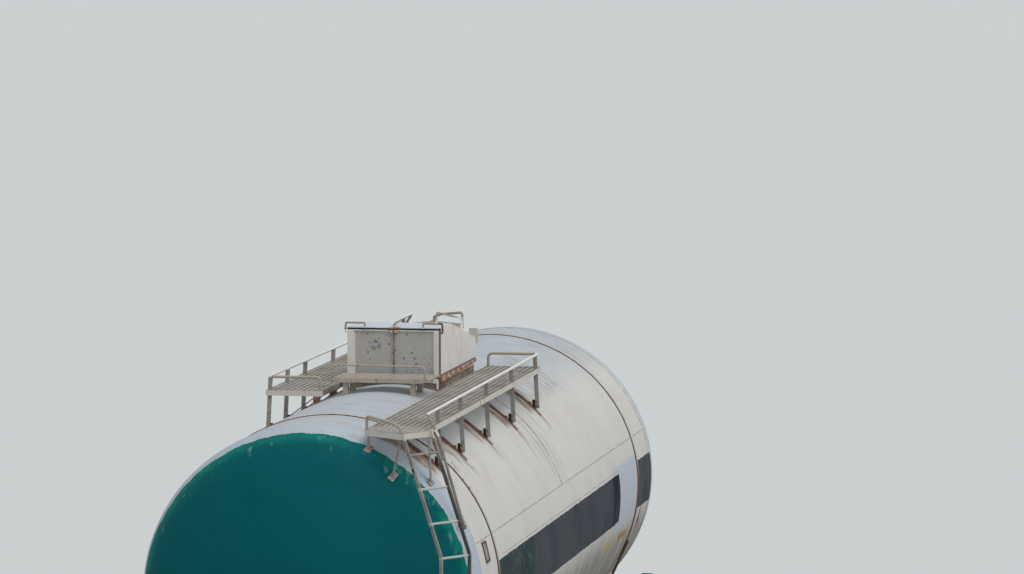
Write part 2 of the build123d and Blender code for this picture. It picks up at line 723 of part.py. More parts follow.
# Brake pipe clamped under the sill's flange, its branch, and the pipes to the cylinder and reservoir
pipe_y = 330
pipe_z = rail_z + 880
cock_x = frame_half + 20
with BuildPart() as brake_pipe:
    add(rod(Vector(-cock_x, pipe_y, pipe_z), Vector(cock_x, pipe_y, pipe_z), 21))
    for x in (-5000, -2900, -1900, 500, 1900, 2900, 5000):
        with Locations((x, pipe_y - 40, (pipe_z + sill_bottom) / 2)):
            Box(40, 90, sill_bottom - pipe_z)
    add(rod(Vector(-300, pipe_y, pipe_z), Vector(-300, 549, pipe_z), 14))
    add(bar([Vector(-340, 549, 838), Vector(-340, -390, 838), Vector(-420, -390, 838), Vector(-420, -395, 838)],
            10, 2))
    add(bar([Vector(-260, 549, 838), Vector(-260, -250, 838), Vector(420, -250, 838), Vector(420, -461, 838)],
            10, 50))
brake_pipe.part.label = "brake_pipe"
export_step(brake_pipe.part, "parts/brake_pipe.step")

# End cocks on the pipe, each with a drilled bore for its hose and a handle on top
hose_bore = 16
bore_depth = 50
drill_point = 10
with BuildPart() as end_cocks:
    for end, way in ends:
        with BuildSketch(across(way * cock_x, z=pipe_z)):
            with Locations((pipe_y, 0)):
                Circle(36)
        extrude(amount=way * 110)
        with Locations((way * (cock_x + 30), pipe_y + 45, pipe_z + 36)):
            Box(26, 130, 16)
        with BuildSketch(across(way * (cock_x + 110), z=pipe_z)):
            with Locations((pipe_y, 0)):
                Circle(hose_bore)
        extrude(amount=-way * bore_depth, mode=Mode.SUBTRACT)
        with BuildSketch(across(way * (cock_x + 110 - bore_depth), z=pipe_z)):
            with Locations((pipe_y, 0)):
                Circle(hose_bore)
        with BuildSketch(across(way * (cock_x + 110 - bore_depth - drill_point), z=pipe_z)):
            with Locations((pipe_y, 0)):
                Circle(1)
        loft(mode=Mode.SUBTRACT)
end_cocks.part.label = "end_cocks"
export_step(end_cocks.part, "parts/end_cocks.step")

# Brake cylinder with its end flanges, piston rod and rear fork, hung from the sill's web
cylinder_y = -560
cylinder_z = 905
cylinder_profile = ((-955, 25), (-900, 25), (-900, 200), (-875, 200), (-875, 178), (-365, 178), (-365, 200),
                    (-340, 200), (-300, 60), (-300, 25), (-285, 25), (-285, 0), (-955, 0))
with BuildPart() as brake_cylinder:
    with BuildSketch(along(cylinder_y, z=cylinder_z)):
        with BuildLine():
            Polyline(*cylinder_profile, close=True)
        make_face()
    revolve(axis=Axis((0, cylinder_y, cylinder_z), (1, 0, 0)))
    for x in (-850, -390):
        with Locations((x, -391, 1040)):
            Box(plate, 420, 70)
brake_cylinder.part.label = "brake_cylinder"
export_step(brake_cylinder.part, "parts/brake_cylinder.step")

# Air reservoir with dished ends, hung from the sill's web
reservoir_y = -620
reservoir_z = 878
reservoir_profile = ((300, 0), (300, 60), (318, 120), (350, 160), (1250, 160), (1282, 120), (1300, 60), (1300, 0))
with BuildPart() as air_reservoir:
    with BuildSketch(along(reservoir_y, z=reservoir_z)):
        with BuildLine():
            Polyline(*reservoir_profile, close=True)
        make_face()
    revolve(axis=Axis((0, reservoir_y, reservoir_z), (1, 0, 0)))
    for x in (500, 1100):
        with Locations((x, -461, 1020)):
            Box(plate, 560, 60)
air_reservoir.part.label = "air_reservoir"
export_step(air_reservoir.part, "parts/air_reservoir.step")

# Distributor: a block with a round chamber at each end, hung from the sill's web
with BuildPart() as distributor:
    with Locations((-300, 640, 905)):
        Box(160, 180, 240)
    with BuildSketch(across(-470, z=905)):
        with Locations((640, 0)):
            Circle(90)
    extrude(amount=340)
    for x in (-350, -250):
        with Locations((x, 391, 1000)):
            Box(plate, 420, 50)
distributor.part.label = "distributor"
export_step(distributor.part, "parts/distributor.step")

# Brake rods: two levers at the cylinder, the tie between them and a pull rod towards each bogie
pull_y = -235
rod_z = 905
lever_front = -250
lever_back = -990
pull_end = 3330
with BuildPart() as brake_rods:
    for x in (lever_front, lever_back):
        with BuildSketch(Plane.XY.offset(rod_z - 8)):
            with Locations((x, (pull_y + cylinder_y) / 2)):
                SlotOverall(cylinder_y * -1 + pull_y + 70, 70, rotation=90)
        extrude(amount=16)
    add(rod(Vector(lever_back, -320, rod_z), Vector(lever_front, -320, rod_z), rod_radius))
    for x, reach in ((lever_front, pull_end), (lever_back, -pull_end)):
        add(rod(Vector(x, pull_y, rod_z), Vector(reach, pull_y, rod_z), rod_radius))
        with Locations((reach, pull_y, rod_z)):
            Box(60, 16, 50)
        with Locations((copysign(2000, reach), pull_y, (rod_z + sill_bottom) / 2 - 10)):
            Box(30, 60, sill_bottom - rod_z + 20)
brake_rods.part.label = "brake_rods"
export_step(brake_rods.part, "parts/brake_rods.step")

# Bogie side frame, half of it in (X, Z) from the rail head: outline, window, and the pocket round
# the window with the rim that stands in it
frame_outline = ((0, 775), (430, 775), (760, 725), (1150, 712), (1195, 670), (1195, 420), (1115, 420),
                 (1115, 650), (735, 650), (735, 380), (700, 330), (430, 150), (0, 150))
window_outline = ((430, 290), (660, 430), (660, 610), (430, 650))
pocket_outline = ((352, 172), (424, 172), (685, 346), (714, 388), (714, 672), (1120, 672), (1120, 694),
                  (757, 706), (430, 755), (352, 755))
rim_outline = ((408, 251), (682, 418), (682, 628), (408, 676))
wedge_outline = ((200, 490), (325, 490), (325, 655), (262, 655), (200, 600))
pocket_depth = (frame_thickness - frame_web) / 2
# Coils on each seat, two rows of two outside a row of three: (x, y, with its coils cut in)
spring_table = ((-225, 0, False), (0, 0, False), (225, 0, False), (-115, -110, False), (115, -110, False),
                (-115, 110, True), (115, 110, True))
coil_count = 5
coil_pitch = (spring_top - spring_foot) / coil_count
for end, way in ends:
    pivot = way * bolster_x
    with BuildPart() as side_frames:
        for side in (-1, 1):
            with BuildSketch(along(side * spring_y, x=pivot, z=rail_z)) as web:
                with BuildLine():
                    Polyline(*frame_outline, close=True)
                make_face()
                with BuildLine():
                    Polyline(*window_outline, close=True)
                make_face(mode=Mode.SUBTRACT)
                with Locations((0, 480)):
                    Rectangle(660, 420, mode=Mode.SUBTRACT)
                mirror(about=Plane.YZ)
                fillet([corner for corner in web.vertices() if abs(corner.X - pivot) > 1], radius=25)
            extrude(amount=frame_thickness / 2, both=True)
            for face in (-1, 1):
                with BuildSketch(along(side * spring_y - face * frame_thickness / 2, x=pivot, z=rail_z)):
                    with BuildLine():
                        Polyline(*pocket_outline, close=True)
                    make_face()
                    with BuildLine():
                        Polyline(*rim_outline, close=True)
                    make_face(mode=Mode.SUBTRACT)
                    mirror(about=Plane.YZ)
                    for level, height in ((205, 66), (733, 40)):
                        with Locations((0, level)):
                            Rectangle(600, height)
                extrude(amount=-face * pocket_depth, mode=Mode.SUBTRACT)
            with Locations((pivot, side * spring_y, spring_foot - 10)):
                Box(660, 2 * seat_half, 20)
            for x in (-160, 160):
                with BuildSketch(across(pivot + x - 8, z=spring_foot)):
                    with BuildLine():
                        Polyline((side * spring_y - seat_half + 10, -15), (side * spring_y + seat_half - 10, -15),
                                 (side * spring_y + 50, -115), (side * spring_y - 50, -115), close=True)
                    make_face()
                extrude(amount=16)
                with Locations((pivot + copysign(beam_x + 25, x), side * 886, 610)):
                    Box(50, 140, 40)
    side_frames.part.label = f"bogie_{end}_side_frames"
    export_step(side_frames.part, f"parts/bogie_{end}_side_frames.step")

    # Bolster: a box beam through both frames, with its bowl, side bearings and friction wedges
    with BuildPart() as bogie_bolster:
        with BuildSketch(across(pivot, z=rail_z)):
            with BuildLine():
                Polyline((0, 780), (720, 780), (930, 655), (1218, 640), (1218, spring_top - rail_z),
                         (830, spring_top - rail_z), (600, 440), (0, 440), close=True)
            make_face()
            mirror(about=Plane.YZ)
        extrude(amount=bolster_half, both=True)
        with BuildSketch(Plane.XY.offset(780 + rail_z)):
            with Locations((pivot, 0)):
                Circle(180)
        extrude(amount=55)
        with BuildSketch(Plane.XY.offset(bowl_z)):
            with Locations((pivot, 0)):
                Circle(152)
        extrude(amount=60, mode=Mode.SUBTRACT)
        with BuildSketch(across(pivot - bolster_half, z=rail_z)):
            with Locations((-390, 610), (390, 610)):
                SlotOverall(330, 120)
        extrude(amount=2 * bolster_half, mode=Mode.SUBTRACT)
        for side in (-1, 1):
            with Locations((pivot, side * side_bearing_y, (740 + bearing_foot - side_bearing_gap) / 2)):
                Box(160, 110, bearing_foot - side_bearing_gap - 740)
            with BuildSketch(along(side * spring_y, x=pivot, z=rail_z)):
                with BuildLine():
                    Polyline(*wedge_outline, close=True)
                make_face()
                mirror(about=Plane.YZ)
            extrude(amount=80, both=True)
    bogie_bolster.part.label = f"bogie_{end}_bolster"
    export_step(bogie_bolster.part, f"parts/bogie_{end}_bolster.step")

    # Springs: seven on each seat, turned from half a profile
    with BuildPart() as springs:
        for side in (-1, 1):
            for x, y, coiled in spring_table:
                centre = Vector(pivot + x, side * (spring_y + y), spring_foot)
                profile = [(0, 0), (spring_radius, 0)]
                if coiled:
                    for coil in range(coil_count - 1):
                        profile.append((spring_radius, (coil + 0.8) * coil_pitch))
                        profile.append((spring_radius - 18, (coil + 1) * coil_pitch))
                        profile.append((spring_radius, (coil + 1.2) * coil_pitch))
                profile += [(spring_radius, spring_top - spring_foot), (0, spring_top - spring_foot)]
                with BuildSketch(Plane(origin=centre, x_dir=(1, 0, 0), z_dir=(0, -1, 0))):
                    with BuildLine():
                        Polyline(*profile, close=True)
                    make_face()
                revolve(axis=Axis(centre, (0, 0, 1)))
    springs.part.label = f"bogie_{end}_springs"
    export_step(springs.part, f"parts/bogie_{end}_springs.step")

    # Axle boxes in the jaws of the side frames, bored for the journals, with round covers
    with BuildPart() as axle_boxes:
        for side in (-1, 1):
            for x in (pivot - wheelbase_half, pivot + wheelbase_half):
                with BuildSketch(along(side * box_back)):
                    with Locations((x, axle_z)):
                        RectangleRounded(350, 2 * (rail_z + 650 - axle_z), 40)
                extrude(amount=-side * box_depth)
                with BuildSketch(along(side * (box_back + box_depth))):
                    with Locations((x, axle_z)):
                        Circle(box_cover)
                extrude(amount=-side * 60)
                with BuildSketch(along(side * box_back)):
                    with Locations((x, axle_z)):
                        Circle(journal_radius + journal_gap)
                extrude(amount=-side * (axle_half + 5 - box_back), mode=Mode.SUBTRACT)
    axle_boxes.part.label = f"bogie_{end}_axle_boxes"
    export_step(axle_boxes.part, f"parts/bogie_{end}_axle_boxes.step")

    # Brake beams inside the wheels: trussed bars with two shoes held off the treads, the links that
    # hang them from the side frames, and on the inner beam the lever that the pull rod works
    with BuildPart() as brake_beams:
        for way_in in (-1, 1):
            x = pivot + way_in * beam_x
            apex = pivot + way_in * (beam_x - 180)
            with Locations((x, 0, beam_z)):
                Box(50, 1640, 60)
            with Locations(((x + apex) / 2, 0, beam_z)):
                Box(180, 30, 30)
            add(bar([Vector(x, -660, beam_z), Vector(apex, -60, beam_z), Vector(apex, 60, beam_z),
                     Vector(x, 660, beam_z)], rod_radius, 30))
            for side in (-1, 1):
                with BuildSketch(along(side * shoe_y)):
                    with Locations((pivot + way_in * wheelbase_half, axle_z)):
                        Circle(wheel_radius + shoe_gap + 58)
                        Circle(wheel_radius + shoe_gap, mode=Mode.SUBTRACT)
                    with Locations((x + way_in * 20, 420)):
                        Rectangle(200, 280, mode=Mode.INTERSECT)
                extrude(amount=35, both=True)
                with Locations((x + way_in * 30, side * shoe_y, beam_z)):
                    Box(120, 70, 60)
                add(flat(Vector(pivot + way_in * (beam_x + 15), side * 812, beam_z + 20),
                         Vector(pivot + way_in * (beam_x + 25), side * 832, 588), (1, 0, 0), 40, 10))
            if way_in == -way:
                add(flat(Vector(x, pull_y, beam_z), Vector(pivot - way * 500, pull_y, 915), (1, 0, 0), 60, 20))
    brake_beams.part.label = f"bogie_{end}_brake_beams"
    export_step(brake_beams.part, f"parts/bogie_{end}_brake_beams.step")

# Wheelsets: an axle and its two wheels turn as one; numbered from end A
wheel_xs = [way * bolster_x + step * wheelbase_half for end, way in ends for step in (-1, 1)]
for number, x in enumerate(wheel_xs, 1):
    with BuildPart() as axle:
        with BuildSketch(across(x, z=axle_z)):
            with BuildLine():
                Polyline((0, 0), (0, 82), (680, 87), (680, hub_bore), (880, hub_bore), (880, 82), (915, 82),
                         (915, journal_radius), (axle_half, journal_radius), (axle_half, 0), close=True)
            make_face()
        revolve(axis=Axis((x, 0, axle_z), (0, 1, 0)))
        mirror(about=Plane.XZ)
    axle.part.label = f"axle_{number}"
    export_step(axle.part, f"parts/axle_{number}.step")

    with BuildPart() as wheels:
        with BuildSketch(across(x, z=axle_z)):
            with BuildLine():
                Polyline((690, hub_bore), (690, 135), (wheel_back + 15, 140), (wheel_back + 45, 300),
                         (wheel_back, 400), (wheel_back, wheel_radius + 2), (wheel_back + 10, flange_radius),
                         (wheel_back + 24, flange_radius), (wheel_back + 42, wheel_radius + 4),
                         (wheel_back + rim_width, wheel_radius - 4), (wheel_back + rim_width, 415),
                         (wheel_back + 80, 395), (wheel_back + 70, 300), (wheel_back + 60, 140),
                         (wheel_back + 150, 130), (wheel_back + 150, hub_bore), close=True)
            make_face()
        revolve(axis=Axis((x, 0, axle_z), (0, 1, 0)))
        mirror(about=Plane.XZ)
    wheels.part.label = f"wheels_{number}"
    export_step(wheels.part, f"parts/wheels_{number}.step")
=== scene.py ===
import json
import bmesh
import bpy
import numpy as np
from mathutils import Matrix


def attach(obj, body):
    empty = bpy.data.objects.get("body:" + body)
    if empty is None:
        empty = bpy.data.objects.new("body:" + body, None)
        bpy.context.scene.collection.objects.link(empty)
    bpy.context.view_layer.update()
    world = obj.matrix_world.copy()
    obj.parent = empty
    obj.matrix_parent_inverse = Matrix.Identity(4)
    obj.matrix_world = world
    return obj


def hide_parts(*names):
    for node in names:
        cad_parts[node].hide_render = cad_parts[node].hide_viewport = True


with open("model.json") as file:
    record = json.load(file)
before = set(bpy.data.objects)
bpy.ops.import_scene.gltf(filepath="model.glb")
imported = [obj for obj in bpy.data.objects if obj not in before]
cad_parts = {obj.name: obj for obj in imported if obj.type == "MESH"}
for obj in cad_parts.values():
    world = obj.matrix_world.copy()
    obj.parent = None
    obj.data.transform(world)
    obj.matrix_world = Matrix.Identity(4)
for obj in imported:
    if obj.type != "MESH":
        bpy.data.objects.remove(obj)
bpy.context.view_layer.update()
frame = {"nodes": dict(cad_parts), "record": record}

# Places that several pieces share, in metres; the tank's axis lies along X
tankZ = 2.828
tankRadius = 1.515
strapX = 3.9
shell = {"half": 4.794, "ringFrom": 4.674, "farRingFrom": 4.765, "domeFrom": 5.011, "seam": 0.481,
         "course": -0.22}
posts = {"right": (-4.303, -3.245, -1.997, -0.708, 0.57),
         "left": (4.303, 3.245, 2.05, 0.87, -0.4, -1.17, -1.9)}
wheelset = {"axleZ": 0.5065, "halfBase": 0.925}
ladder = {"rungFrom": -1.348, "pitch": 0.298}


# Numbers and nodes

def linear(shade):
    # sRGB hex to linear light: a straight line near black, then a 2.4 power
    values = np.array([int(shade[k:k + 2], 16) for k in (1, 3, 5)]) / 255
    values = np.where(values <= 0.04045, values / 12.92, ((values + 0.055) / 1.055) ** 2.4)
    return (*values.tolist(), 1.0)


def addNode(tree, kind, inputs=None, out=0, **settings):
    # adds one node, gives it its settings and feeds its sockets with values or with other nodes' sockets
    node = tree.nodes.new("ShaderNode" + kind)
    for name, value in settings.items():
        setattr(node, name, value)
    for socket, value in (inputs or {}).items():
        if isinstance(value, bpy.types.NodeSocket):
            tree.links.new(value, node.inputs[socket])
        else:
            node.inputs[socket].default_value = value
    return node if out is None else node.outputs[out]


def combine(tree, operation, values):
    # one value from several, two at a time
    total = values[0]
    for value in values[1:]:
        total = addNode(tree, "Math", {0: total, 1: value}, operation=operation)
    return total


def allOf(tree, *masks):
    # their product: what all of them cover, and a plain number thins it
    return combine(tree, "MULTIPLY", masks)


def anyOf(tree, *masks):
    # their greatest: what any of them covers
    return combine(tree, "MAXIMUM", masks)


def between(tree, value, low, high, soft):
    # 1 from low to high, easing to 0 over soft metres beyond each of them
    rise = addNode(tree, "MapRange", {0: value, 1: low - soft, 2: low}, interpolation_type="SMOOTHSTEP")
    fall = addNode(tree, "MapRange", {0: value, 1: high + soft, 2: high}, interpolation_type="SMOOTHSTEP")
    return allOf(tree, rise, fall)


def blotches(tree, place, size, low, high, shift=0.0, detail=4.0):
    # noise with grains of a real size in mm, 0 below one level of the noise and 1 above the other
    scale = tuple(1000 / np.broadcast_to(size, 3))
    spread = addNode(tree, "Mapping", {0: place, 1: (shift, shift, shift), 3: scale})
    noise = addNode(tree, "TexNoise", {"Vector": spread, "Scale": 1.0, "Detail": detail, "Roughness": 0.6})
    return addNode(tree, "MapRange", {0: noise, 1: low, 2: high}, interpolation_type="SMOOTHSTEP")


def apart(tree, across, up):
    # distance from two offsets: the root of the sum of their squares
    offsets = addNode(tree, "CombineXYZ", {0: across, 1: up})
    return addNode(tree, "VectorMath", {0: offsets}, operation="LENGTH", out=1)


def placesOf(tree, place):
    # What the tables measure along, in metres: x, y, z, distance from the car's middle (reach) and from its
    # centre line (side), height over the tank's axis and radius from it, length round its skin from the crown
    # (girth with its sign, down without), height from the nearest rung, distance from the nearest axle, and
    # a product that is above 0 on the ladders' corners. Grains spread through space or over the skin laid flat.
    x, y, z = addNode(tree, "SeparateXYZ", {0: place}, out=None).outputs
    reach = addNode(tree, "Math", {0: x}, operation="ABSOLUTE")
    height = addNode(tree, "Math", {0: z, 1: tankZ}, operation="SUBTRACT")
    angle = addNode(tree, "Math", {0: y, 1: height}, operation="ARCTAN2")
    girth = addNode(tree, "Math", {0: angle, 1: tankRadius}, operation="MULTIPLY")
    onLadder = addNode(tree, "Math", {0: height, 1: ladder["rungFrom"]}, operation="SUBTRACT")
    halfPitch = ladder["pitch"] / 2
    offPivot = addNode(tree, "Math", {0: reach, 1: strapX}, operation="SUBTRACT")
    offPivot = addNode(tree, "Math", {0: offPivot}, operation="ABSOLUTE")
    offAxle = addNode(tree, "Math", {0: offPivot, 1: wheelset["halfBase"]}, operation="SUBTRACT")
    overAxle = addNode(tree, "Math", {0: z, 1: wheelset["axleZ"]}, operation="SUBTRACT")
    return {"space": place, "skin": addNode(tree, "CombineXYZ", {0: x, 1: girth}),
            "x": x, "y": y, "z": z, "reach": reach, "height": height, "girth": girth,
            "side": addNode(tree, "Math", {0: y}, operation="ABSOLUTE"),
            "down": addNode(tree, "Math", {0: girth}, operation="ABSOLUTE"),
            "radius": apart(tree, y, height), "fromAxle": apart(tree, offAxle, overAxle),
            "rung": addNode(tree, "Math", {0: onLadder, 1: halfPitch, 2: -halfPitch}, operation="WRAP"),
            "ladderCorner": addNode(tree, "Math", {0: x, 1: y}, operation="MULTIPLY")}


def cover(tree, at, row, made):
    # where a row of a table lies, 0 to 1: in every mask that it is within, in any of those under any, in its
    # spans (low, high, soft) and on its grain (mm, low and high level of the noise, shift)
    parts = [made[name] for name in row.get("within", ())]
    if "any" in row:
        parts.append(anyOf(tree, *[made[name] for name in row["any"]]))
    for key in row:
        if key in ("space", "skin"):
            parts.append(blotches(tree, at[key], *row[key]))
        elif key in at:
            parts.append(between(tree, at[key], *row[key]))
    return allOf(tree, *parts)


def layCoats(tree, at, table, made):
    # each row's mask at its strength, and its colour; a row without a colour only serves the rows after it
    layers = []
    for name, row in table.items():
        made[name] = cover(tree, at, row, made)
        if "shade" in row:
            layers.append((allOf(tree, made[name], row.get("strength", 1.0)), row["shade"]))
    return layers


def coats(tree, ground, layers):
    # a ground colour and the coats over it, each a mask and its colour, the last on top
    shade = linear(ground)
    for mask, colour in layers:
        shade = addNode(tree, "Mix", {0: mask, 6: shade, 7: linear(colour)}, out=2, data_type="RGBA")
    return shade


def startMaterial(name, roughness, metallic=0.0, ior=None):
    # a material with a shader and its output; a metal keeps the shader's own IOR
    material = bpy.data.materials.new(name)
    material.use_nodes = True
    tree = material.node_tree
    tree.nodes.clear()
    shader = addNode(tree, "BsdfPrincipled", {"Roughness": roughness, "Metallic": metallic}, out=None)
    if ior:
        shader.inputs["IOR"].default_value = ior
    addNode(tree, "OutputMaterial", {0: shader.outputs[0]}, out=None)
    return material, tree, shader, placesOf(tree, addNode(tree, "TexCoord", out=3))


def finish(tree, shader, colour, height, depth, dull=None, rough=(0.4, 0.8)):
    # the colour, a relief of depth metres, and a roughness that rises where the surface is dull
    tree.links.new(colour, shader.inputs["Base Color"])
    bump = addNode(tree, "Bump", {"Height": height, "Distance": depth, "Strength": 1.0})
    tree.links.new(bump, shader.inputs["Normal"])
    if dull:
        spread = addNode(tree, "MapRange", {0: dull, 3: rough[0], 4: rough[1]})
        tree.links.new(spread, shader.inputs["Roughness"])


# Camera, floor and light

camera = {"place": (-51.9755, -10.4432, 9.6668), "yaw": 10.3932, "pitch": 4.8576, "lens": 194.44,
          "sensor": 36, "clip": 2000}


def placeCamera():
    # forward from yaw and pitch, right level with the floor, up square to both
    yaw, pitch = np.radians(camera["yaw"]), np.radians(camera["pitch"])
    forward = np.array([np.cos(pitch) * np.cos(yaw), np.cos(pitch) * np.sin(yaw), -np.sin(pitch)])
    right = np.array([np.sin(yaw), -np.cos(yaw), 0])
    turn = np.column_stack([right, np.cross(right, forward), -forward])
    data = bpy.data.cameras.new("photoCamera")
    data.lens, data.sensor_width, data.clip_end = camera["lens"], camera["sensor"], camera["clip"]
    viewer = bpy.data.objects.new("photoCamera", data)
    viewer.matrix_world = Matrix.Translation(camera["place"]) @ Matrix(turn.tolist()).to_4x4()
    bpy.context.collection.objects.link(viewer)
    bpy.context.scene.camera = viewer


stage = {"floor": "#B9BAB8", "seen": "#DCDDDB", "grain": (400, 0.3, 0.7), "reach": 500, "sky": "#DDE4EA",
         "backdrop": "#D9DBDA", "skyLight": 0.62, "sun": 1.35, "sunTurn": (0.55, 0.0, -0.6), "sunAngle": 0.9}


def seenDirectly(tree):
    # 1 for what the camera sees, itself or in gloss and glass, so that the pale ground adds no light
    seen = addNode(tree, "LightPath", out=None).outputs
    return anyOf(tree, seen["Is Camera Ray"], seen["Is Glossy Ray"], seen["Is Transmission Ray"])


def setStage():
    # pale floor, an even sky as a light tent, and one wide soft lamp from high on the right
    material, tree, shader, at = startMaterial("paleConcreteFloor", 0.9)
    finish(tree, shader, coats(tree, stage["floor"], [(seenDirectly(tree), stage["seen"])]),
           blotches(tree, at["space"], *stage["grain"]), 0.001)
    corners = np.array([(-1, -1, 0), (1, -1, 0), (1, 1, 0), (-1, 1, 0)]) * stage["reach"]
    mesh = bpy.data.meshes.new("floor")
    mesh.from_pydata(corners, [], [(0, 1, 2, 3)])
    mesh.materials.append(material)
    floor = bpy.data.objects.new("floor", mesh)
    bpy.context.collection.objects.link(floor)

    world = bpy.data.worlds.new("studioSky")
    world.use_nodes = True
    tree = world.node_tree
    tree.nodes.clear()
    light = addNode(tree, "Background", {0: linear(stage["sky"]), 1: stage["skyLight"]})
    view = addNode(tree, "Background", {0: linear(stage["backdrop"]), 1: 1.0})
    both = addNode(tree, "MixShader", {0: seenDirectly(tree), 1: light, 2: view})
    addNode(tree, "OutputWorld", {0: both}, out=None)
    bpy.context.scene.world = world

    lamp = bpy.data.lights.new("softLamp", "SUN")
    lamp.energy, lamp.angle = stage["sun"], stage["sunAngle"]
    sun = bpy.data.objects.new("softLamp", lamp)
    sun.rotation_euler = stage["sunTurn"]
    bpy.context.collection.objects.link(sun)
    bpy.context.scene.view_settings.view_transform = "Standard"


placeCamera()
setStage()
print("camera and stage set")


# Tank paint: one row for each coat, in the order in which they lie, the last on top

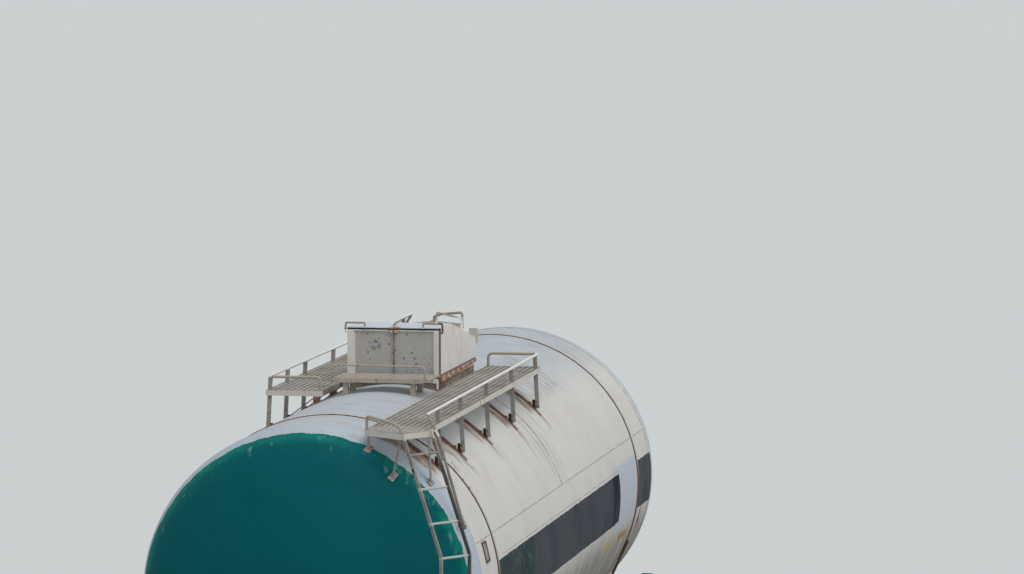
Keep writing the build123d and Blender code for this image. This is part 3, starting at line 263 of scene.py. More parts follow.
rustDark, soot = "#4A3226", "#6E665D"
tankGround = "#DAD6D0"
waver = {"grain": (120, 0.2, 0.8), "along": 0.03, "up": 0.012}
ringEdge = waver["along"] / 2
redMark = {"x": 4.23, "height": -0.41, "slope": 0.35}
postRustAndShadow = {"covered": (0.62, 1.07, 0.12), "below": (1.05, 1.2, 0.25),
             "broad": (-0.23, 0.06, 0.09), "thin": (-0.05, 0.04, 0.05)}
tankRelief = {"broad": ((480, 700, 400), 0.0, 1.0, 0.0, 1.0), "fine": (16, 0.0, 1.0), "share": 0.06,
              "depth": 0.006, "rough": (0.6, 0.85), "shine": 0.08}
tankCoats = {
    # the crown has greyed; what it sheds runs down the plates and fades below the side's middle
    "clouds": {"skin": ((900, 1100, 700), 0.42, 0.75), "strength": 0.4, "shade": "#C6C4C0"},
    "warm": {"skin": ((500, 900, 500), 0.5, 0.8, 5.0), "down": (0.5, 1.25, 0.9), "shade": "#D1C5B7"},
    "crown": {"down": (0.0, 0.55, 0.75), "strength": 0.85, "shade": "#BBC1C7"},
    "mottle": {"within": ["crown"], "skin": ((220, 300, 200), 0.42, 0.72, 2.0), "strength": 0.3,
               "shade": "#9A978F"},
    "runs": {"skin": ((170, 1500, 60), 0.5, 0.85), "down": (0.5, 1.25, 0.9), "strength": 0.13, "shade": soot},
    "breaks": {"skin": ((800, 600, 600), 0.46, 0.62, 7.0)},
    "thinRuns": {"within": ["breaks"], "skin": ((26, 620, 60), 0.58, 0.74, 3.0), "down": (0.5, 1.25, 0.9),
                 "strength": 0.4, "shade": "#8A7767"},
    "combed": {"skin": ((22, 900, 60), 0.53, 0.62, 21.0), "x": (-0.75, 0.15, 0.12), "down": (1.1, 1.75, 0.15),
               "strength": 0.5, "shade": soot},
    "brushed": {"skin": ((36, 260, 60), 0.46, 0.6, 23.0), "x": (0.4, 2.3, 0.12), "down": (0.5, 1.0, 0.15),
                "strength": 0.6, "shade": "#7C776F"},
    "beside": {"skin": ((40, 330, 60), 0.46, 0.62, 25.0), "x": (3.95, 4.55, 0.12), "down": (0.4, 0.95, 0.15),
               "strength": 0.35, "shade": "#8F8378"},
    "scuffs": {"skin": ((34, 160, 60), 0.56, 0.62, 27.0), "x": (-4.2, -3.3, 0.12), "down": (0.95, 1.25, 0.15),
               "strength": 0.7, "shade": rustDark},

    # rust from the strips under the posts, with painted shadow of the deck: broad and brown under the deck,
    # thin below;
    # painted shade and grime darken the belly
    "rustAndDeckShadow": {"within": ["underPosts"], "skin": ((115, 400, 60), 0.32, 0.56, 9.0)},
    "landing": {"reach": (4.5, 4.95, 0.15), "down": (0.6, 1.12, 0.12), "ladderCorner": (0.05, 20.0, 0.05),
                "skin": ((160, 300, 60), 0.36, 0.58, 12.0)},
    # rust and painted shadow of the deck, by the posts and under the landing
    "rust": {"any": ["rustAndDeckShadow", "landing"], "strength": 0.78, "shade": "#8C6A52"},
    "collar": {"x": (-1.35, 0.65, 0.12), "down": (0.3, 0.56, 0.06), "skin": ((200, 120, 60), 0.3, 0.6, 14.0),
               "strength": 0.7, "shade": "#8F7B68"},
    "deepRust": {"any": ["rustAndDeckShadow", "landing"], "skin": ((30, 200, 60), 0.5, 0.64, 4.0), "strength": 0.75,
                 "shade": rustDark},
    "drips": {"within": ["belowPosts"], "skin": ((30, 380, 60), 0.44, 0.62, 10.0), "strength": 0.75,
              "shade": rustDark},
    # painted shade and grime: the belly darker towards the bottom
    "bellyShadeAndGrime": {"height": (-1.6, -0.6, 0.45), "skin": ((150, 1600, 300), 0.0, 0.72, 6.0), "strength": 0.92,
              "shade": "#7E766B"},
    "bellyStreaks": {"height": (-1.6, -0.55, 0.3), "skin": ((50, 500, 300), 0.55, 0.75, 16.0),
                     "strength": 0.2, "shade": "#5E5A54"},

    # welds and the straps' edges hold rust
    "courseWeld": {"x": (shell["course"] - 0.02, shell["course"] + 0.02, 0.012),
                   "height": (shell["seam"], 2.0, 0.01)},
    "ringWelds": {"reach": (shell["ringFrom"] - 0.012, shell["ringFrom"] + 0.012, 0.01)},
    "seamWelds": {"height": (shell["seam"] - 0.002, shell["seam"] + 0.002, 0.005)},
    "welds": {"any": ["courseWeld", "ringWelds", "seamWelds"], "space": (60, 0.35, 0.6), "strength": 0.7,
              "shade": soot},
    "strapEdges": {"reach": (strapX - 0.038, strapX + 0.038, 0.006), "down": (0.9, 3.0, 0.7),
                   "strength": 0.85, "shade": rustDark},

    # the stripe on each side, its repainted patches and the blank ground beside them
    "blankGround": {"height": (-0.3, 0.28, 0.05), "x": (2.5, 3.84, 0.01), "strength": 0.85,
                    "shade": "#BEC5CF"},
    "guideLine": {"height": (0.26, 0.264, 0.003), "x": (-3.85, 2.8, 0.004),
                  "skin": ((400, 100, 100), 0.35, 0.5), "strength": 0.7, "shade": "#8F7F6C"},
    "stripe": {"raggedHeight": (-0.257, 0.237, 0.004), "x": (-3.85, 2.6, 0.004), "shade": "#3B3E46"},
    "farStripe": {"raggedHeight": (-0.257, 0.237, 0.004), "x": (3.95, 4.76, 0.004), "shade": "#40444B"},
    "stripeWear": {"within": ["stripe"], "skin": ((60, 900, 60), 0.45, 0.8, 15.0), "strength": 0.3,
                   "shade": "#50545B"},
    "greenPatch": {"within": ["stripe"], "x": (-3.85, -2.12, 0.05), "skin": ((250, 400, 100), 0.3, 0.5),
                   "strength": 0.85, "shade": "#26393A"},
    "scrapes": {"within": ["stripe"], "x": (-3.4, -2.3, 0.1), "skin": ((45, 130, 60), 0.6, 0.66, 13.0),
                "strength": 0.6, "shade": "#8C9A9B"},
    "navyBlock": {"height": (-0.25, 0.228, 0.008), "x": (2.4, 2.78, 0.01), "shade": "#0A1220"},
    "wornRightSide": {"y": (-2.0, -0.1, 0.01), "skin": (90, 0.3, 0.5)},
    "ochreMark": {"within": ["wornRightSide"], "height": (-0.49, -0.42, 0.01), "x": (3.04, 3.5, 0.02),
                  "shade": "#A9854A"},
    "faintMark": {"within": ["wornRightSide"], "height": (-0.485, -0.42, 0.015), "x": (2.15, 2.6, 0.05),
                  "strength": 0.75, "shade": "#C6A763"},
    "redMark": {"within": ["wornRightSide"], "fromRedMark": (-1.0, 0.055, 0.012), "shade": "#7E2E2A"},

    # pale ring and teal dome at each end; the dome's edge is greener, with pale smears on its upper part
    "wideRing": {"raggedReach": (shell["ringFrom"] + ringEdge, 9.0, 0.008), "x": (-9.0, 0.0, 0.01)},
    "narrowRing": {"raggedReach": (shell["farRingFrom"] + ringEdge, 9.0, 0.008)},
    "ring": {"any": ["wideRing", "narrowRing"], "shade": "#BAC4CD"},
    "ringDust": {"within": ["ring"], "space": ((250, 250, 120), 0.45, 0.75), "strength": 0.6,
                 "shade": "#B6B8B6"},
    "ringSpots": {"within": ["ring"], "space": ((60, 60, 30), 0.6, 0.7), "strength": 0.5, "shade": "#8F8B85"},
    "dome": {"raggedReach": (shell["domeFrom"] + ringEdge, 9.0, 0.006), "shade": "#005C60"},
    "domeEdge": {"within": ["dome"], "reach": (4.9, 5.05, 0.09), "space": (300, 0.25, 0.6),
                 "shade": "#0A7D70"},
    "domeClouds": {"within": ["dome"], "space": ((600, 600, 250), 0.4, 0.8), "strength": 0.4,
                   "shade": "#004C52"},
    "smears": {"within": ["dome"], "space": ((120, 60, 150), 0.56, 0.72, 4.5), "reach": (5.0, 5.12, 0.06),
               "height": (0.5, 1.35, 0.2), "strength": 0.55, "shade": "#7FAFA8"},
    "liftingLug": {"radius": (tankRadius + 0.012, 3.0, 0.002), "x": (0.0, 4.0, 0.1), "shade": "#C9C2B6"},
}


def byPosts(tree, at, along, round):
    # one patch for each post, a span along the car from its foot and a span round the skin on its side
    patches = []
    for way, feet in ((-1.0, posts["right"]), (1.0, posts["left"])):
        girth = addNode(tree, "Math", {0: at["girth"], 1: way}, operation="MULTIPLY")
        level = between(tree, girth, *round)
        patches += [allOf(tree, between(tree, at["x"], foot + along[0], foot + along[1], along[2]), level)
                    for foot in feet]
    return anyOf(tree, *patches)


def sprayedTankEnamel():
    # enamel sprayed on steel plate, outdoors for years: satin where it is clean, dull and streaked where
    # rain has run off the crown, with repainted patches that don't quite match
    material, tree, shader, at = startMaterial("sprayedTankEnamel", 0.6, ior=1.5)
    edge = blotches(tree, at["space"], *waver["grain"])
    for ragged, straight, amount in (("raggedReach", "reach", "along"), ("raggedHeight", "height", "up")):
        shifted = {0: edge, 1: waver[amount], 2: at[straight]}
        at[ragged] = addNode(tree, "Math", shifted, operation="MULTIPLY_ADD")
    over = addNode(tree, "Math", {0: at["height"], 1: redMark["height"]}, operation="SUBTRACT")
    over = addNode(tree, "Math", {0: over}, operation="ABSOLUTE")
    beyond = addNode(tree, "Math", {0: at["x"], 1: redMark["x"]}, operation="SUBTRACT")
    beyond = addNode(tree, "Math", {0: beyond}, operation="ABSOLUTE")
    lens = {0: over, 1: redMark["slope"], 2: beyond}
    at["fromRedMark"] = addNode(tree, "Math", lens, operation="MULTIPLY_ADD")
    made = {"underPosts": byPosts(tree, at, postRustAndShadow["broad"], postRustAndShadow["covered"]),
            "belowPosts": byPosts(tree, at, postRustAndShadow["thin"], postRustAndShadow["below"])}
    layers = layCoats(tree, at, tankCoats, made)
    broad, fine = (blotches(tree, at["skin"], *tankRelief[key]) for key in ("broad", "fine"))
    plates = addNode(tree, "Math", {0: fine, 1: tankRelief["share"], 2: broad}, operation="MULTIPLY_ADD")
    finish(tree, shader, coats(tree, tankGround, layers), plates, tankRelief["depth"],
           anyOf(tree, made["clouds"], made["runs"]), tankRelief["rough"])
    shader.inputs["Specular IOR Level"].default_value = tankRelief["shine"]  # chalked enamel shines far less
    return material


# Hood paint, which also covers its collar, the manhole and the step platform

spot = "#4F4A47"
hoodGround = "#F2ECE6"
hoodMarks = {"dentReflection": (0.175, 1.885), "clipPitch": 0.235, "chip": 55, "chipEdge": (0.24, 0.12),
             "depth": 0.004, "rough": (0.6, 0.85), "shine": 0.15}
hoodCoats = {
    "tone": {"space": (300, 0.35, 0.7), "strength": 0.7, "shade": "#E6DFD8"},
    "runs": {"space": ((40, 40, 500), 0.5, 0.75), "strength": 0.25, "shade": "#857D72"},
    # painted shade: the front face, which faces away from the light, a little darker and its panel much darker
    "front": {"x": (-1.3, -1.175, 0.003), "height": (1.5, 2.046, 0.002), "strength": 0.6, "shade": "#E6DFD5"},
    "panel": {"within": ["front"], "side": (-1.0, 0.372, 0.006), "height": (1.5, 2.01, 0.006),
              "strength": 0.9, "shade": "#B7B3AC"},
    "panelFoot": {"within": ["panel"], "height": (1.4, 1.6, 0.12), "strength": 0.5, "shade": "#8F9694"},
    "roofEdge": {"height": (2.046, 2.058, 0.002), "shade": "#CED3DB"},
    "tubes": {"height": (2.058, 2.4, 0.002), "shade": "#A89A87"},
    "steps": {"x": (-2.1, -1.4, 0.005), "strength": 0.8, "shade": "#A39781"},
    "stepWear": {"within": ["steps"], "space": (45, 0.52, 0.66), "strength": 0.6, "shade": "#8F7A62"},
    "curb": {"side": (-1.0, 0.428, 0.002), "x": (-1.17, 1.0, 0.004), "height": (1.2, 1.53, 0.004),
             "strength": 0.9, "shade": "#9A8D80"},
    "curbRust": {"within": ["curb"], "space": ((120, 120, 60), 0.4, 0.6), "strength": 0.8,
                 "shade": "#75604F"},
    "panelChips": {"within": ["panel"], "space": (110, 0.44, 0.54, 6.0)},
    "sheetChips": {"space": (260, 0.56, 0.62, 3.0)},
    "chips": {"within": ["dots"], "any": ["panelChips", "sheetChips"], "strength": 0.75, "shade": spot},
    # a dent drawn in colour only: painted shade round its rim and a painted sky reflection in its middle
    "dentShadeRim": {"within": ["front"], "fromDent": (0.022, 0.05, 0.015), "space": (40, 0.42, 0.6),
                "strength": 0.6, "shade": spot},
    "dentReflection": {"within": ["front"], "fromDent": (-1.0, 0.018, 0.008), "shade": "#A5B6C6"},
    "foot": {"side": (0.43, 0.6, 0.004), "height": (1.4, 1.59, 0.004), "strength": 0.8, "shade": "#C2B19C"},
    "clips": {"within": ["foot"], "clipWave": (0.0, 2.0, 0.5), "space": (42, 0.34, 0.5), "strength": 0.9,
              "shade": "#A5683D"},
    "footRust": {"within": ["foot"], "space": (26, 0.52, 0.62), "shade": "#5A3A28"},
    "footLine": {"side": (0.43, 0.6, 0.004), "height": (1.594, 1.608, 0.003), "strength": 0.85,
                 "shade": "#3A2820"},
    "spine": {"within": ["front"], "y": (-0.007, 0.007, 0.004), "space": ((60, 60, 90), 0.3, 0.5),
              "strength": 0.75, "shade": "#6B5548"},
    # painted shadow of a gap under the lid's edge
    "lidShadowGap": {"within": ["front"], "height": (2.03, 2.044, 0.002), "shade": "#231D19"},
    "latch": {"side": (-1.0, 0.05, 0.005), "height": (2.02, 2.2, 0.01), "x": (-1.35, -1.12, 0.01),
              "space": (25, 0.35, 0.55), "strength": 0.85, "shade": "#8A5230"},
    "corner": {"x": (-1.21, -1.17, 0.003), "y": (-0.6, -0.432, 0.002), "strength": 0.85, "shade": "#5E4A3C"},
}


def brushedHoodPaint():
    # oil paint brushed on thin sheet: dull, with chips that rust and soot settling low
    material, tree, shader, at = startMaterial("brushedHoodPaint", 0.7, ior=1.5)
    across, up = (addNode(tree, "Math", {0: at[key], 1: middle}, operation="SUBTRACT")
                  for key, middle in zip(("y", "height"), hoodMarks["dentReflection"]))
    at["fromDent"] = apart(tree, across, up)
    along = addNode(tree, "Math", {0: at["x"], 1: 2 * np.pi / hoodMarks["clipPitch"]}, operation="MULTIPLY")
    at["clipWave"] = addNode(tree, "Math", {0: along}, operation="SINE")
    cells = addNode(tree, "TexVoronoi", {"Vector": at["space"], "Scale": 1000 / hoodMarks["chip"]})
    outer, inner = hoodMarks["chipEdge"]
    made = {"dots": addNode(tree, "MapRange", {0: cells, 1: outer, 2: inner})}
    layers = layCoats(tree, at, hoodCoats, made)
    dents = addNode(tree, "Math", {0: made["chips"], 1: -0.5, 2: made["tone"]}, operation="MULTIPLY_ADD")
    finish(tree, shader, coats(tree, hoodGround, layers), dents, hoodMarks["depth"], made["tone"],
           hoodMarks["rough"])
    shader.inputs["Specular IOR Level"].default_value = hoodMarks["shine"]
    return material


# Plain painted and bare metals: ground colour, coats (grain mm, levels, strength, colour), relief
finishes = {
    "wornDeckPaint": {"ground": "#A09991", "rough": (0.55, 0.85), "depth": 0.0012, "metallic": 0.0, "coats": (
        (300, 0.4, 0.7, 0.8, "#857E74"), (45, 0.55, 0.68, 0.7, "#6C6258"), (18, 0.62, 0.7, 0.6, "#5A4334"))},
    "dustyFrameGreen": {"ground": "#0F4F4B", "rough": (0.5, 0.85), "depth": 0.0015, "metallic": 0.0, "coats": (
        (400, 0.4, 0.7, 0.7, "#0B3A39"), (120, 0.5, 0.75, 0.5, "#35524B"), (25, 0.64, 0.7, 0.8, "#4A3B30"))},
    "brakeBlack": {"ground": "#22282A", "rough": (0.5, 0.85), "depth": 0.001, "metallic": 0.0, "coats": (
        (120, 0.4, 0.7, 0.6, "#3A3833"), (25, 0.6, 0.7, 0.7, "#4B382B"))},
    "rustedStrap": {"ground": "#5A483D", "rough": (0.65, 0.9), "depth": 0.001, "metallic": 0.0, "coats": (
        (80, 0.4, 0.65, 0.8, "#6B4632"), (20, 0.55, 0.65, 0.7, "#2E231D"))},
    "valveSteel": {"ground": "#8C8578", "rough": (0.35, 0.6), "depth": 0.0006, "metallic": 0.7, "coats": (
        (60, 0.5, 0.7, 0.6, "#5E5346"), (15, 0.6, 0.7, 0.6, "#6E4A33"))},
    "tarredTimber": {"ground": "#3D2F24", "rough": (0.7, 0.95), "depth": 0.003, "metallic": 0.0, "coats": (
        ((300, 12, 12), 0.45, 0.65, 0.8, "#241B15"), (90, 0.55, 0.7, 0.5, "#57473A"))},
    "rolledWheelSteel": {"ground": "#4E3E34", "rough": (0.6, 0.9), "depth": 0.001, "metallic": 0.2, "coats": (
        (120, 0.4, 0.7, 0.7, "#5F4434"), (30, 0.55, 0.7, 0.6, "#2C2622"))},
    "forgedAxle": {"ground": "#463A32", "rough": (0.55, 0.85), "depth": 0.0006, "metallic": 0.3, "coats": (
        (90, 0.4, 0.7, 0.7, "#5A4334"), (25, 0.55, 0.7, 0.6, "#28221E"))},
    "castBogieIron": {"ground": "#33302C", "rough": (0.7, 0.95), "depth": 0.002, "metallic": 0.1, "coats": (
        (250, 0.4, 0.7, 0.7, "#463C33"), (40, 0.55, 0.7, 0.6, "#211E1B"), (12, 0.5, 0.7, 0.4, "#574A3E"))},
    "castCouplerIron": {"ground": "#3B322B", "rough": (0.6, 0.9), "depth": 0.0015, "metallic": 0.3, "coats": (
        (100, 0.4, 0.7, 0.7, "#553B2B"), (20, 0.55, 0.7, 0.6, "#241F1B"))},
    "zincBolt": {"ground": "#6B635A", "rough": (0.45, 0.75), "depth": 0.0005, "metallic": 0.5, "coats": (
        (12, 0.45, 0.65, 0.8, "#5A4334"),)},
}

# Coats of the walkways, railings and ladders, over the worn paint
deckCoats = {
    # struts and the strips on the skin are brown with rust
    "strutRust": {"side": (0.4, 0.995, 0.003), "height": (0.9, 1.46, 0.01), "reach": (-1.0, 4.6, 0.01),
                  "space": (60, 0.3, 0.5), "strength": 0.9, "shade": "#6A4C3A"},
    "strips": {"radius": (1.4, tankRadius + 0.011, 0.001), "reach": (-1.0, 4.6, 0.01),
               "side": (0.4, 1.1, 0.005), "space": ((40, 90, 90), 0.28, 0.5), "shade": "#845A42"},
    # the deck's edge plate is cream on its outer face and round the landing, and rusts through in patches
    "outerFace": {"side": (1.057, 1.2, 0.002)},
    "landing": {"reach": (4.72, 6.0, 0.005)},
    "innerEnd": {"reach": (1.916, 1.94, 0.002)},
    "edgePlates": {"any": ["outerFace", "landing", "innerEnd"], "height": (1.461, 1.513, 0.002),
                   "space": (70, 0.22, 0.36), "shade": "#D6CFC4"},
    "plateRust": {"within": ["outerFace"], "height": (1.4, 1.515, 0.002), "space": (90, 0.62, 0.68, 5.0),
                  "shade": "#8C4528"},
    # tan hoops at both ends, and the long rail near white
    "hoops": {"height": (1.521, 3.0, 0.003), "side": (0.4, 1.0, 0.005), "strength": 0.8, "shade": "#B3A692"},
    "handRail": {"height": (1.634, 3.0, 0.004), "side": (1.018, 1.1, 0.003), "space": (40, 0.25, 0.4),
                 "shade": "#ECEAE5"},
    # boots keep the rungs pale; the ladder's inner side bar is dark grey
    "rungs": {"rung": (-0.012, 0.012, 0.002), "reach": (5.04, 5.4, 0.01), "height": (-1.4, 1.3, 0.01),
              "strength": 0.85, "shade": "#C3C4BA"},
    "innerStringers": {"reach": (5.05, 5.1, 0.004), "side": (1.05, 1.6, 0.01), "height": (-1.6, 1.2, 0.1),
                       "strength": 0.85, "shade": "#4E4C49"},
    # the cleats that hold the posts are black
    "cleats": {"side": (1.0, 1.031, 0.001), "height": (0.9, 1.215, 0.003),
               "radius": (tankRadius + 0.008, 2.0, 0.001), "shade": "#2E231D"},
}

# The side sills' faces weather to a lighter green
sillCoats = {"faces": {"side": (1.355, 1.47, 0.004), "z": (1.035, 1.25, 0.004),
                       "space": ((600, 60, 60), 0.3, 0.5), "strength": 0.85, "shade": "#2E7A76"}}

# The straps were sprayed with the tank, and only their edges rust
strapCoats = {"endA": {"x": (-strapX - 0.012, -strapX + 0.031, 0.001)},
              "endB": {"x": (strapX - 0.012, strapX + 0.031, 0.001)},
              "faces": {"any": ["endA", "endB"], "z": (3.3, 5.0, 0.5), "space": (60, 0.3, 0.45),
                        "shade": "#CFC8BE"}}

# Rails and brake shoes keep the treads bright
treadCoats = {"treads": {"fromAxle": (0.462, 0.6, 0.003), "side": (0.72, 0.845, 0.004), "strength": 0.8,
                         "shade": "#8F8A83"}}


def plainFinish(name, table=None):
    # a ground colour under blotched coats, each with its own grain, dull where the first coat lies; over them
    # come the coats of a table
    values = finishes[name]
    material, tree, shader, at = startMaterial(name, values["rough"][0], values["metallic"])
    masks, layers = [], []
    for row, (grain, low, high, strength, shade) in enumerate(values["coats"]):
        masks.append(blotches(tree, at["space"], grain, low, high, float(row)))
        layers.append((allOf(tree, masks[-1], strength), shade))
    layers += layCoats(tree, at, table or {}, {})
    finish(tree, shader, coats(tree, values["ground"], layers), anyOf(tree, *masks), values["depth"],
           masks[0], values["rough"])
    return material


# One finish for each slot of the record
materials = {
    "tank_paint": sprayedTankEnamel(), "hood_paint": brushedHoodPaint(),
    "deck_paint": plainFinish("wornDeckPaint", deckCoats),
    "frame_paint": plainFinish("dustyFrameGreen", sillCoats),
    "strap_steel": plainFinish("rustedStrap", strapCoats),
    "wheel_steel": plainFinish("rolledWheelSteel", treadCoats),
    "brake_paint": plainFinish("brakeBlack"), "valve_steel": plainFinish("valveSteel"),
    "timber": plainFinish("tarredTimber"), "axle_steel": plainFinish("forgedAxle"),
    "bogie_iron": plainFinish("castBogieIron"), "coupler_iron": plainFinish("castCouplerIron"),
}
for part in frame["record"]["subparts"]:
    node = frame["nodes"][part["node"]]
    node.data.materials.clear()
    node.data.materials.append(materials[part["material_slot"]])
print("finishes on", len(frame["nodes"]), "nodes")


# Surfaces worked out as grids

def wrapFaces(rows, columns, closeRows=False, closeColumns=True):
    # quads of a grid of points, joined round where a direction is closed
    row = np.arange(rows if closeRows else rows - 1)[:, None]
    column = np.arange(columns if closeColumns else columns - 1)[None, :]
    nextRow, nextColumn = (row + 1) % rows, (column + 1) % columns
    quad = [row * columns + column, row * columns + nextColumn, nextRow * columns + nextColumn,
            nextRow * columns + column]
    return np.stack([side.ravel() for side in np.broadcast_arrays(*quad)], axis=1)


def makePiece(name, points, faces, slot, body, material=None, smooth=False):
    # a mesh object from arrays, on its body, with the finish of its slot unless it has its own
    mesh = bpy.data.meshes.new(name)
    mesh.from_pydata(points.reshape(-1, 3), [], faces)
    mesh.materials.append(material or materials[slot])
    mesh.polygons.foreach_set("use_smooth", np.full(len(mesh.polygons), smooth))
    mesh.update()
    piece = bpy.data.objects.new(name, mesh)
    bpy.context.collection.objects.link(piece)
    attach(piece, body)
    return piece


def carry(path, aside, above, profile, closed=False):
    # a closed profile carried along a path: point = path + profile x times aside + profile y times above
    across, up = profile[None, :, :1] * aside[:, None, :], profile[None, :, 1:] * above[:, None, :]
    return path[:, None, :] + across + up, wrapFaces(len(path), len(profile), closed)


def capped(points, faces):
    # both ends of a carried profile closed by one face each
    count, sides = points.shape[:2]
    ends = [tuple(range(sides))[::-1], tuple(range((count - 1) * sides, count * sides))]
    return points, [tuple(face) for face in faces] + ends


def outwardFaces(piece):
    # turns every face outwards, for shapes that are mirrored from side to side
    mesh = bmesh.new()
    mesh.from_mesh(piece.data)
    bmesh.ops.recalc_face_normals(mesh, faces=mesh.faces)
    mesh.to_mesh(piece.data)
    mesh.free()


def joined(shapes):
    # several (points, faces) as one, with plain tuples for the caps' longer faces
    points, faces, start = [], [], 0
    for shape, ring in shapes:
        points.append(shape.reshape(-1, 3))
        faces += [tuple(int(k) + start for k in face) for face in ring]
        start += len(points[-1])
    return np.concatenate(points), faces


# Springs: real coils in place of the frame's solid ones

spring = {"radius": 0.064, "wire": 0.0135, "foot": 0.298, "top": 0.518, "turns": 5.5, "flat": 0.75,
          "steps": 22, "sides": 8, "y": 1.018,
          "places": ((-0.225, 0), (0, 0), (0.225, 0), (-0.115, -0.11), (0.115, -0.11), (-0.115, 0.11),
                     (0.115, 0.11))}


def coil(centreX, centreY):
    # a circle of wire carried along a helix; the height stands still for part of a turn at both ends, where
    # the turns lie closed
    s = spring
    turn = np.linspace(0, s["turns"], int(s["turns"] * s["steps"]) + 1)
    angle = 2 * np.pi * turn
    risen = np.clip((turn - s["flat"]) / (s["turns"] - 2 * s["flat"]), 0, 1)
    outward = np.stack([np.cos(angle), np.sin(angle), np.zeros_like(angle)], axis=1)
    low, high = s["foot"] + s["wire"], s["top"] - s["wire"]
    path = outward * s["radius"] + np.array([centreX, centreY, low])
    path[:, 2] += risen * (high - low)
    corner = np.linspace(0, 2 * np.pi, s["sides"], endpoint=False)
    wire = np.stack([np.cos(corner), np.sin(corner)], axis=1) * s["wire"]
    up = np.tile([0.0, 0.0, 1.0], (len(path), 1))
    return capped(*carry(path, outward, up, wire))


def makeSprings():
    for end, pivot in (("a", -strapX), ("b", strapX)):
        coils = [coil(pivot + x, side * (spring["y"] + y)) for side in (-1, 1) for x, y in spring["places"]]
        piece = makePiece(f"bogie_{end}_coils", *joined(coils), "bogie_iron", f"bogie_{end}", smooth=True)
        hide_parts(f"bogie_{end}_springs")


makeSprings()
print("springs coiled")


# Weld beads on the tank's skin

weld = {"width": 0.014, "rise": 0.004, "sunk": 0.001, "steps": 240}


def makeWelds():
    # a low arc of a profile carried round the shell near each dome, over the crown at the plates' joint
    # and along both sides, where the upper plates meet the lower ones
    steps = weld["steps"]
    arc = np.linspace(0, np.pi, 5)
    profile = np.stack([np.cos(arc) * weld["width"] / 2, np.sin(arc) * weld["rise"] - weld["sunk"]], axis=1)
    seamAngle = np.arccos(shell["seam"] / tankRadius)
    rounds = ((-shell["ringFrom"], 0, 2 * np.pi, True), (shell["ringFrom"], 0, 2 * np.pi, True),
              (shell["course"], -seamAngle, seamAngle, False))
    shapes = []
    for x, start, stop, closed in rounds:
        around = np.linspace(start, stop, steps, endpoint=not closed)
        outward = np.stack([np.zeros(steps), np.sin(around), np.cos(around)], axis=1)
        path = outward * tankRadius + np.array([x, 0, tankZ])
        bead = carry(path, np.tile([1.0, 0.0, 0.0], (steps, 1)), outward, profile, closed)
        shapes.append(bead if closed else capped(*bead))
    for side in (-1, 1):
        normal = np.tile([0, side * np.sin(seamAngle), np.cos(seamAngle)], (steps, 1))
        path = np.linspace([-shell["half"], 0, tankZ], [shell["half"], 0, tankZ], steps) + normal * tankRadius
        shapes.append(capped(*carry(path, np.cross(normal, [1.0, 0, 0]), normal, profile)))
    outwardFaces(makePiece("weld_beads", *joined(shapes), "tank_paint", "car", smooth=True))


makeWelds()
print("welds laid")


# Bolts: hexagon heads of an M20 bolt, chamfered on top, and smaller ones to the same shape

bolt = {"corner": 0.0173, "head": 0.0125, "chamfer": 0.003, "sunk": 0.002,
        "cover": {"count": 20, "radius": 0.282, "centre": (-0.45, 0, tankZ + 1.64)},
        "axleBox": {"count": 8, "radius": 0.1, "face": 1.185}}
zinc = plainFinish("zincBolt")


def boltHeads(places, normals, size=1.0):
    # a profile of three rings of six corners, set up on each normal: place + u x + v y + normal z
    places, normals = np.atleast_2d(places).astype(float), np.atleast_2d(normals).astype(float)
    normals = np.broadcast_to(normals / np.linalg.norm(normals, axis=1, keepdims=True), places.shape)
    other = np.where(np.abs(normals[:, :1]) < 0.9, [[1.0, 0, 0]], [[0, 1.0, 0]])
    u = np.cross(normals, other)
    u /= np.linalg.norm(u, axis=1, keepdims=True)
    v = np.cross(normals, u)
    turn = np.arange(6) * np.pi / 3
    radius = np.array([bolt["corner"], bolt["corner"], bolt["corner"] - bolt["chamfer"]]) * size
    level = np.array([-bolt["sunk"], bolt["head"] - bolt["chamfer"], bolt["head"]]) * size
    x, y = radius[:, None] * np.cos(turn), radius[:, None] * np.sin(turn)
    z = np.broadcast_to(level[:, None], x.shape)
    grids = (places[:, None, None] + x[..., None] * u[:, None, None] + y[..., None] * v[:, None, None]
             + z[..., None] * normals[:, None, None])
    faces = [tuple(face) for face in wrapFaces(3, 6)] + [tuple(range(6))[::-1], tuple(range(12, 18))]
    return [(grid, faces) for grid in grids]


def ringOf(count, radius, centre, flat):
    # points evenly round a circle in the plane of the two axes named in flat
    turn = (np.arange(count) + 0.5) * 2 * np.pi / count
    points = np.tile(np.array(centre, float), (count, 1))
    points[:, flat[0]] += radius * np.cos(turn)
    points[:, flat[1]] += radius * np.sin(turn)
    return points


def makeBolts():
    cover, axleBox = bolt["cover"], bolt["axleBox"]
    heads = boltHeads(ringOf(cover["count"], cover["radius"], cover["centre"], (0, 1)), (0, 0, 1))
    makePiece("manhole_bolts", *joined(heads), "valve_steel", "car", zinc)
    for end, pivot in (("a", -strapX), ("b", strapX)):
        heads = []
        for side in (-1, 1):
            for step in (-1, 1):
                centre = (pivot + step * wheelset["halfBase"], side * axleBox["face"], wheelset["axleZ"])
                heads += boltHeads(ringOf(axleBox["count"], axleBox["radius"], centre, (0, 2)), (0, side, 0))
        makePiece(f"bogie_{end}_box_bolts", *joined(heads), "bogie_iron", f"bogie_{end}", zinc)


# Walkway fastenings: bolts through posts and cleats, bolts in the ladders' feet, and the rails' lower ends

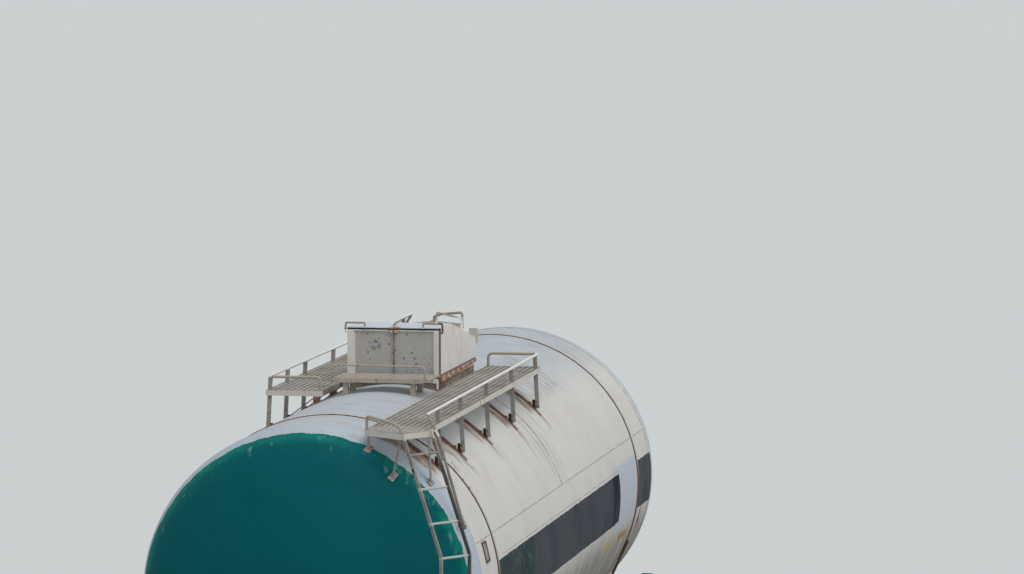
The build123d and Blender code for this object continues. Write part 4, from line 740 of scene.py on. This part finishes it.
# Each walkway's name, its side of the car and the end that its ladder stands at
walkwaySides = (("right", -1, -1), ("left", 1, 1))
walkwayBolt = {"post": (0.005, 1.043), "levels": (1.14, 1.185), "postSize": 0.6,
               "feet": ((5.357, 1.244, 1.267), (5.077, 1.44, 1.255)), "spread": (0.031, 0.036),
               "footSize": 0.8}
railEnd = {"route": ((4.9655, 1.357, 0.81), (4.967, 1.381, 0.73), (4.9675, 1.392, 0.69),
                     (4.968, 1.402, 0.65)),
           "flatness": (1.0, 1.0, 0.45, 0.45), "tube": 0.0125, "sides": 12,
           "lug": ((4.974, 1.345, 0.664), (4.982, 1.42, 0.69)), "bolt": (4.961, 1.398, 0.675), "size": 0.7}


def makeWalkwayBolts():
    w = walkwayBolt
    beside, out = w["post"]
    for name, side, way in walkwaySides:
        heads = []
        for x in posts[name]:
            heads += boltHeads([(x + way * beside, side * out, tankZ + level) for level in w["levels"]],
                               (way, 0, 0), w["postSize"])
        for x, y, z in w["feet"]:
            pair = [(way * (x + step * w["spread"][0]), side * (y - w["spread"][1]), z) for step in (-1, 1)]
            heads += boltHeads(pair, (0, 0, 1), w["footSize"])
        makePiece(f"walkway_bolts_{name}", *joined(heads), "valve_steel", "car", zinc)


def box(low, high):
    # eight corners and six faces between two corners
    pick = np.array([(0, 0, 0), (1, 0, 0), (1, 1, 0), (0, 1, 0), (0, 0, 1), (1, 0, 1), (1, 1, 1), (0, 1, 1)])
    points = np.where(pick, np.maximum(low, high), np.minimum(low, high))
    return points, [(0, 3, 2, 1), (4, 5, 6, 7), (0, 1, 5, 4), (1, 2, 6, 5), (2, 3, 7, 6), (3, 0, 4, 7)]


def makeRailEnds():
    # the rail's tube, a circle carried along its run, is flattened at the foot and bolted to a lug on the
    # skin: point = path + cos times flatness times x + sin times the root of 2 - flatness times above
    r = railEnd
    turn = np.linspace(0, 2 * np.pi, r["sides"], endpoint=False)
    squash = np.array(r["flatness"])[:, None, None]
    for name, side, way in walkwaySides:
        mirror, axis = np.array([way, side, 1]), np.array([0, 0, tankZ])
        path = np.array(r["route"]) * mirror + axis
        along = (path[-1] - path[0]) / np.linalg.norm(path[-1] - path[0])
        above = np.cross(along, [1.0, 0, 0])
        wide, tall = np.cos(turn)[:, None] * squash, np.sin(turn)[:, None] * (2 - squash) ** 0.5
        tube = path[:, None, :] + (wide * [1.0, 0, 0] + tall * above) * r["tube"]
        shapes = [capped(tube, wrapFaces(len(path), r["sides"])), box(*np.array(r["lug"]) * mirror + axis)]
        shapes += boltHeads(np.array(r["bolt"]) * mirror + axis, (-way, 0, 0), r["size"])
        outwardFaces(makePiece(f"rail_end_{name}", *joined(shapes), "deck_paint", "car"))


# Plate holder: a rusty folded frame round a blank plate, on the right side near end A

holder = {"x": (-4.42, -4.25), "girth": (-2.098, -1.912), "lip": 0.014, "rise": 0.012, "sunk": 0.001,
          "plate": 0.004, "steps": 8}


def onSkin(x, girth, lift):
    # a point on the shell from its place along the car, its length round from the crown and its height off it
    angle = np.asarray(girth) / tankRadius
    radius = tankRadius + np.asarray(lift)
    return np.stack(np.broadcast_arrays(x, radius * np.sin(angle), tankZ + radius * np.cos(angle)), axis=-1)


def makeHolder():
    # a square profile carried round a rectangle on the skin, mitred at its corners, and inside it a thin
    # sheet, a flat profile carried down the skin
    (x0, x1), (g0, g1), lip, rise, sunk = (holder[key] for key in ("x", "girth", "lip", "rise", "sunk"))
    corner = np.array([(x0, g0), (x1, g0), (x1, g1), (x0, g1)])
    inward = np.array([(1, 1), (-1, 1), (-1, -1), (1, -1)]) * lip
    track = np.stack([corner, corner, corner + inward, corner + inward], axis=1)
    points = onSkin(track[..., 0], track[..., 1], np.array([-sunk, rise, rise, -sunk]))
    faces = wrapFaces(4, 4, closeRows=True)[:, ::-1]
    makePiece("plate_frame", *joined([(points, faces)]), "strap_steel", "car")
    across = np.array([x0 + lip, x1 - lip, x1 - lip, x0 + lip])
    around = np.linspace(g0 + lip, g1 - lip, holder["steps"])[:, None]
    lift = np.array([holder["plate"], holder["plate"], -sunk, -sunk])
    sheet = capped(onSkin(across, around, lift), wrapFaces(holder["steps"], 4))
    outwardFaces(makePiece("blank_plate", *joined([sheet]), "deck_paint", "car"))


makeBolts()
makeWalkwayBolts()
makeRailEnds()
makeHolder()
print("bolts, rail ends and plate fitted")
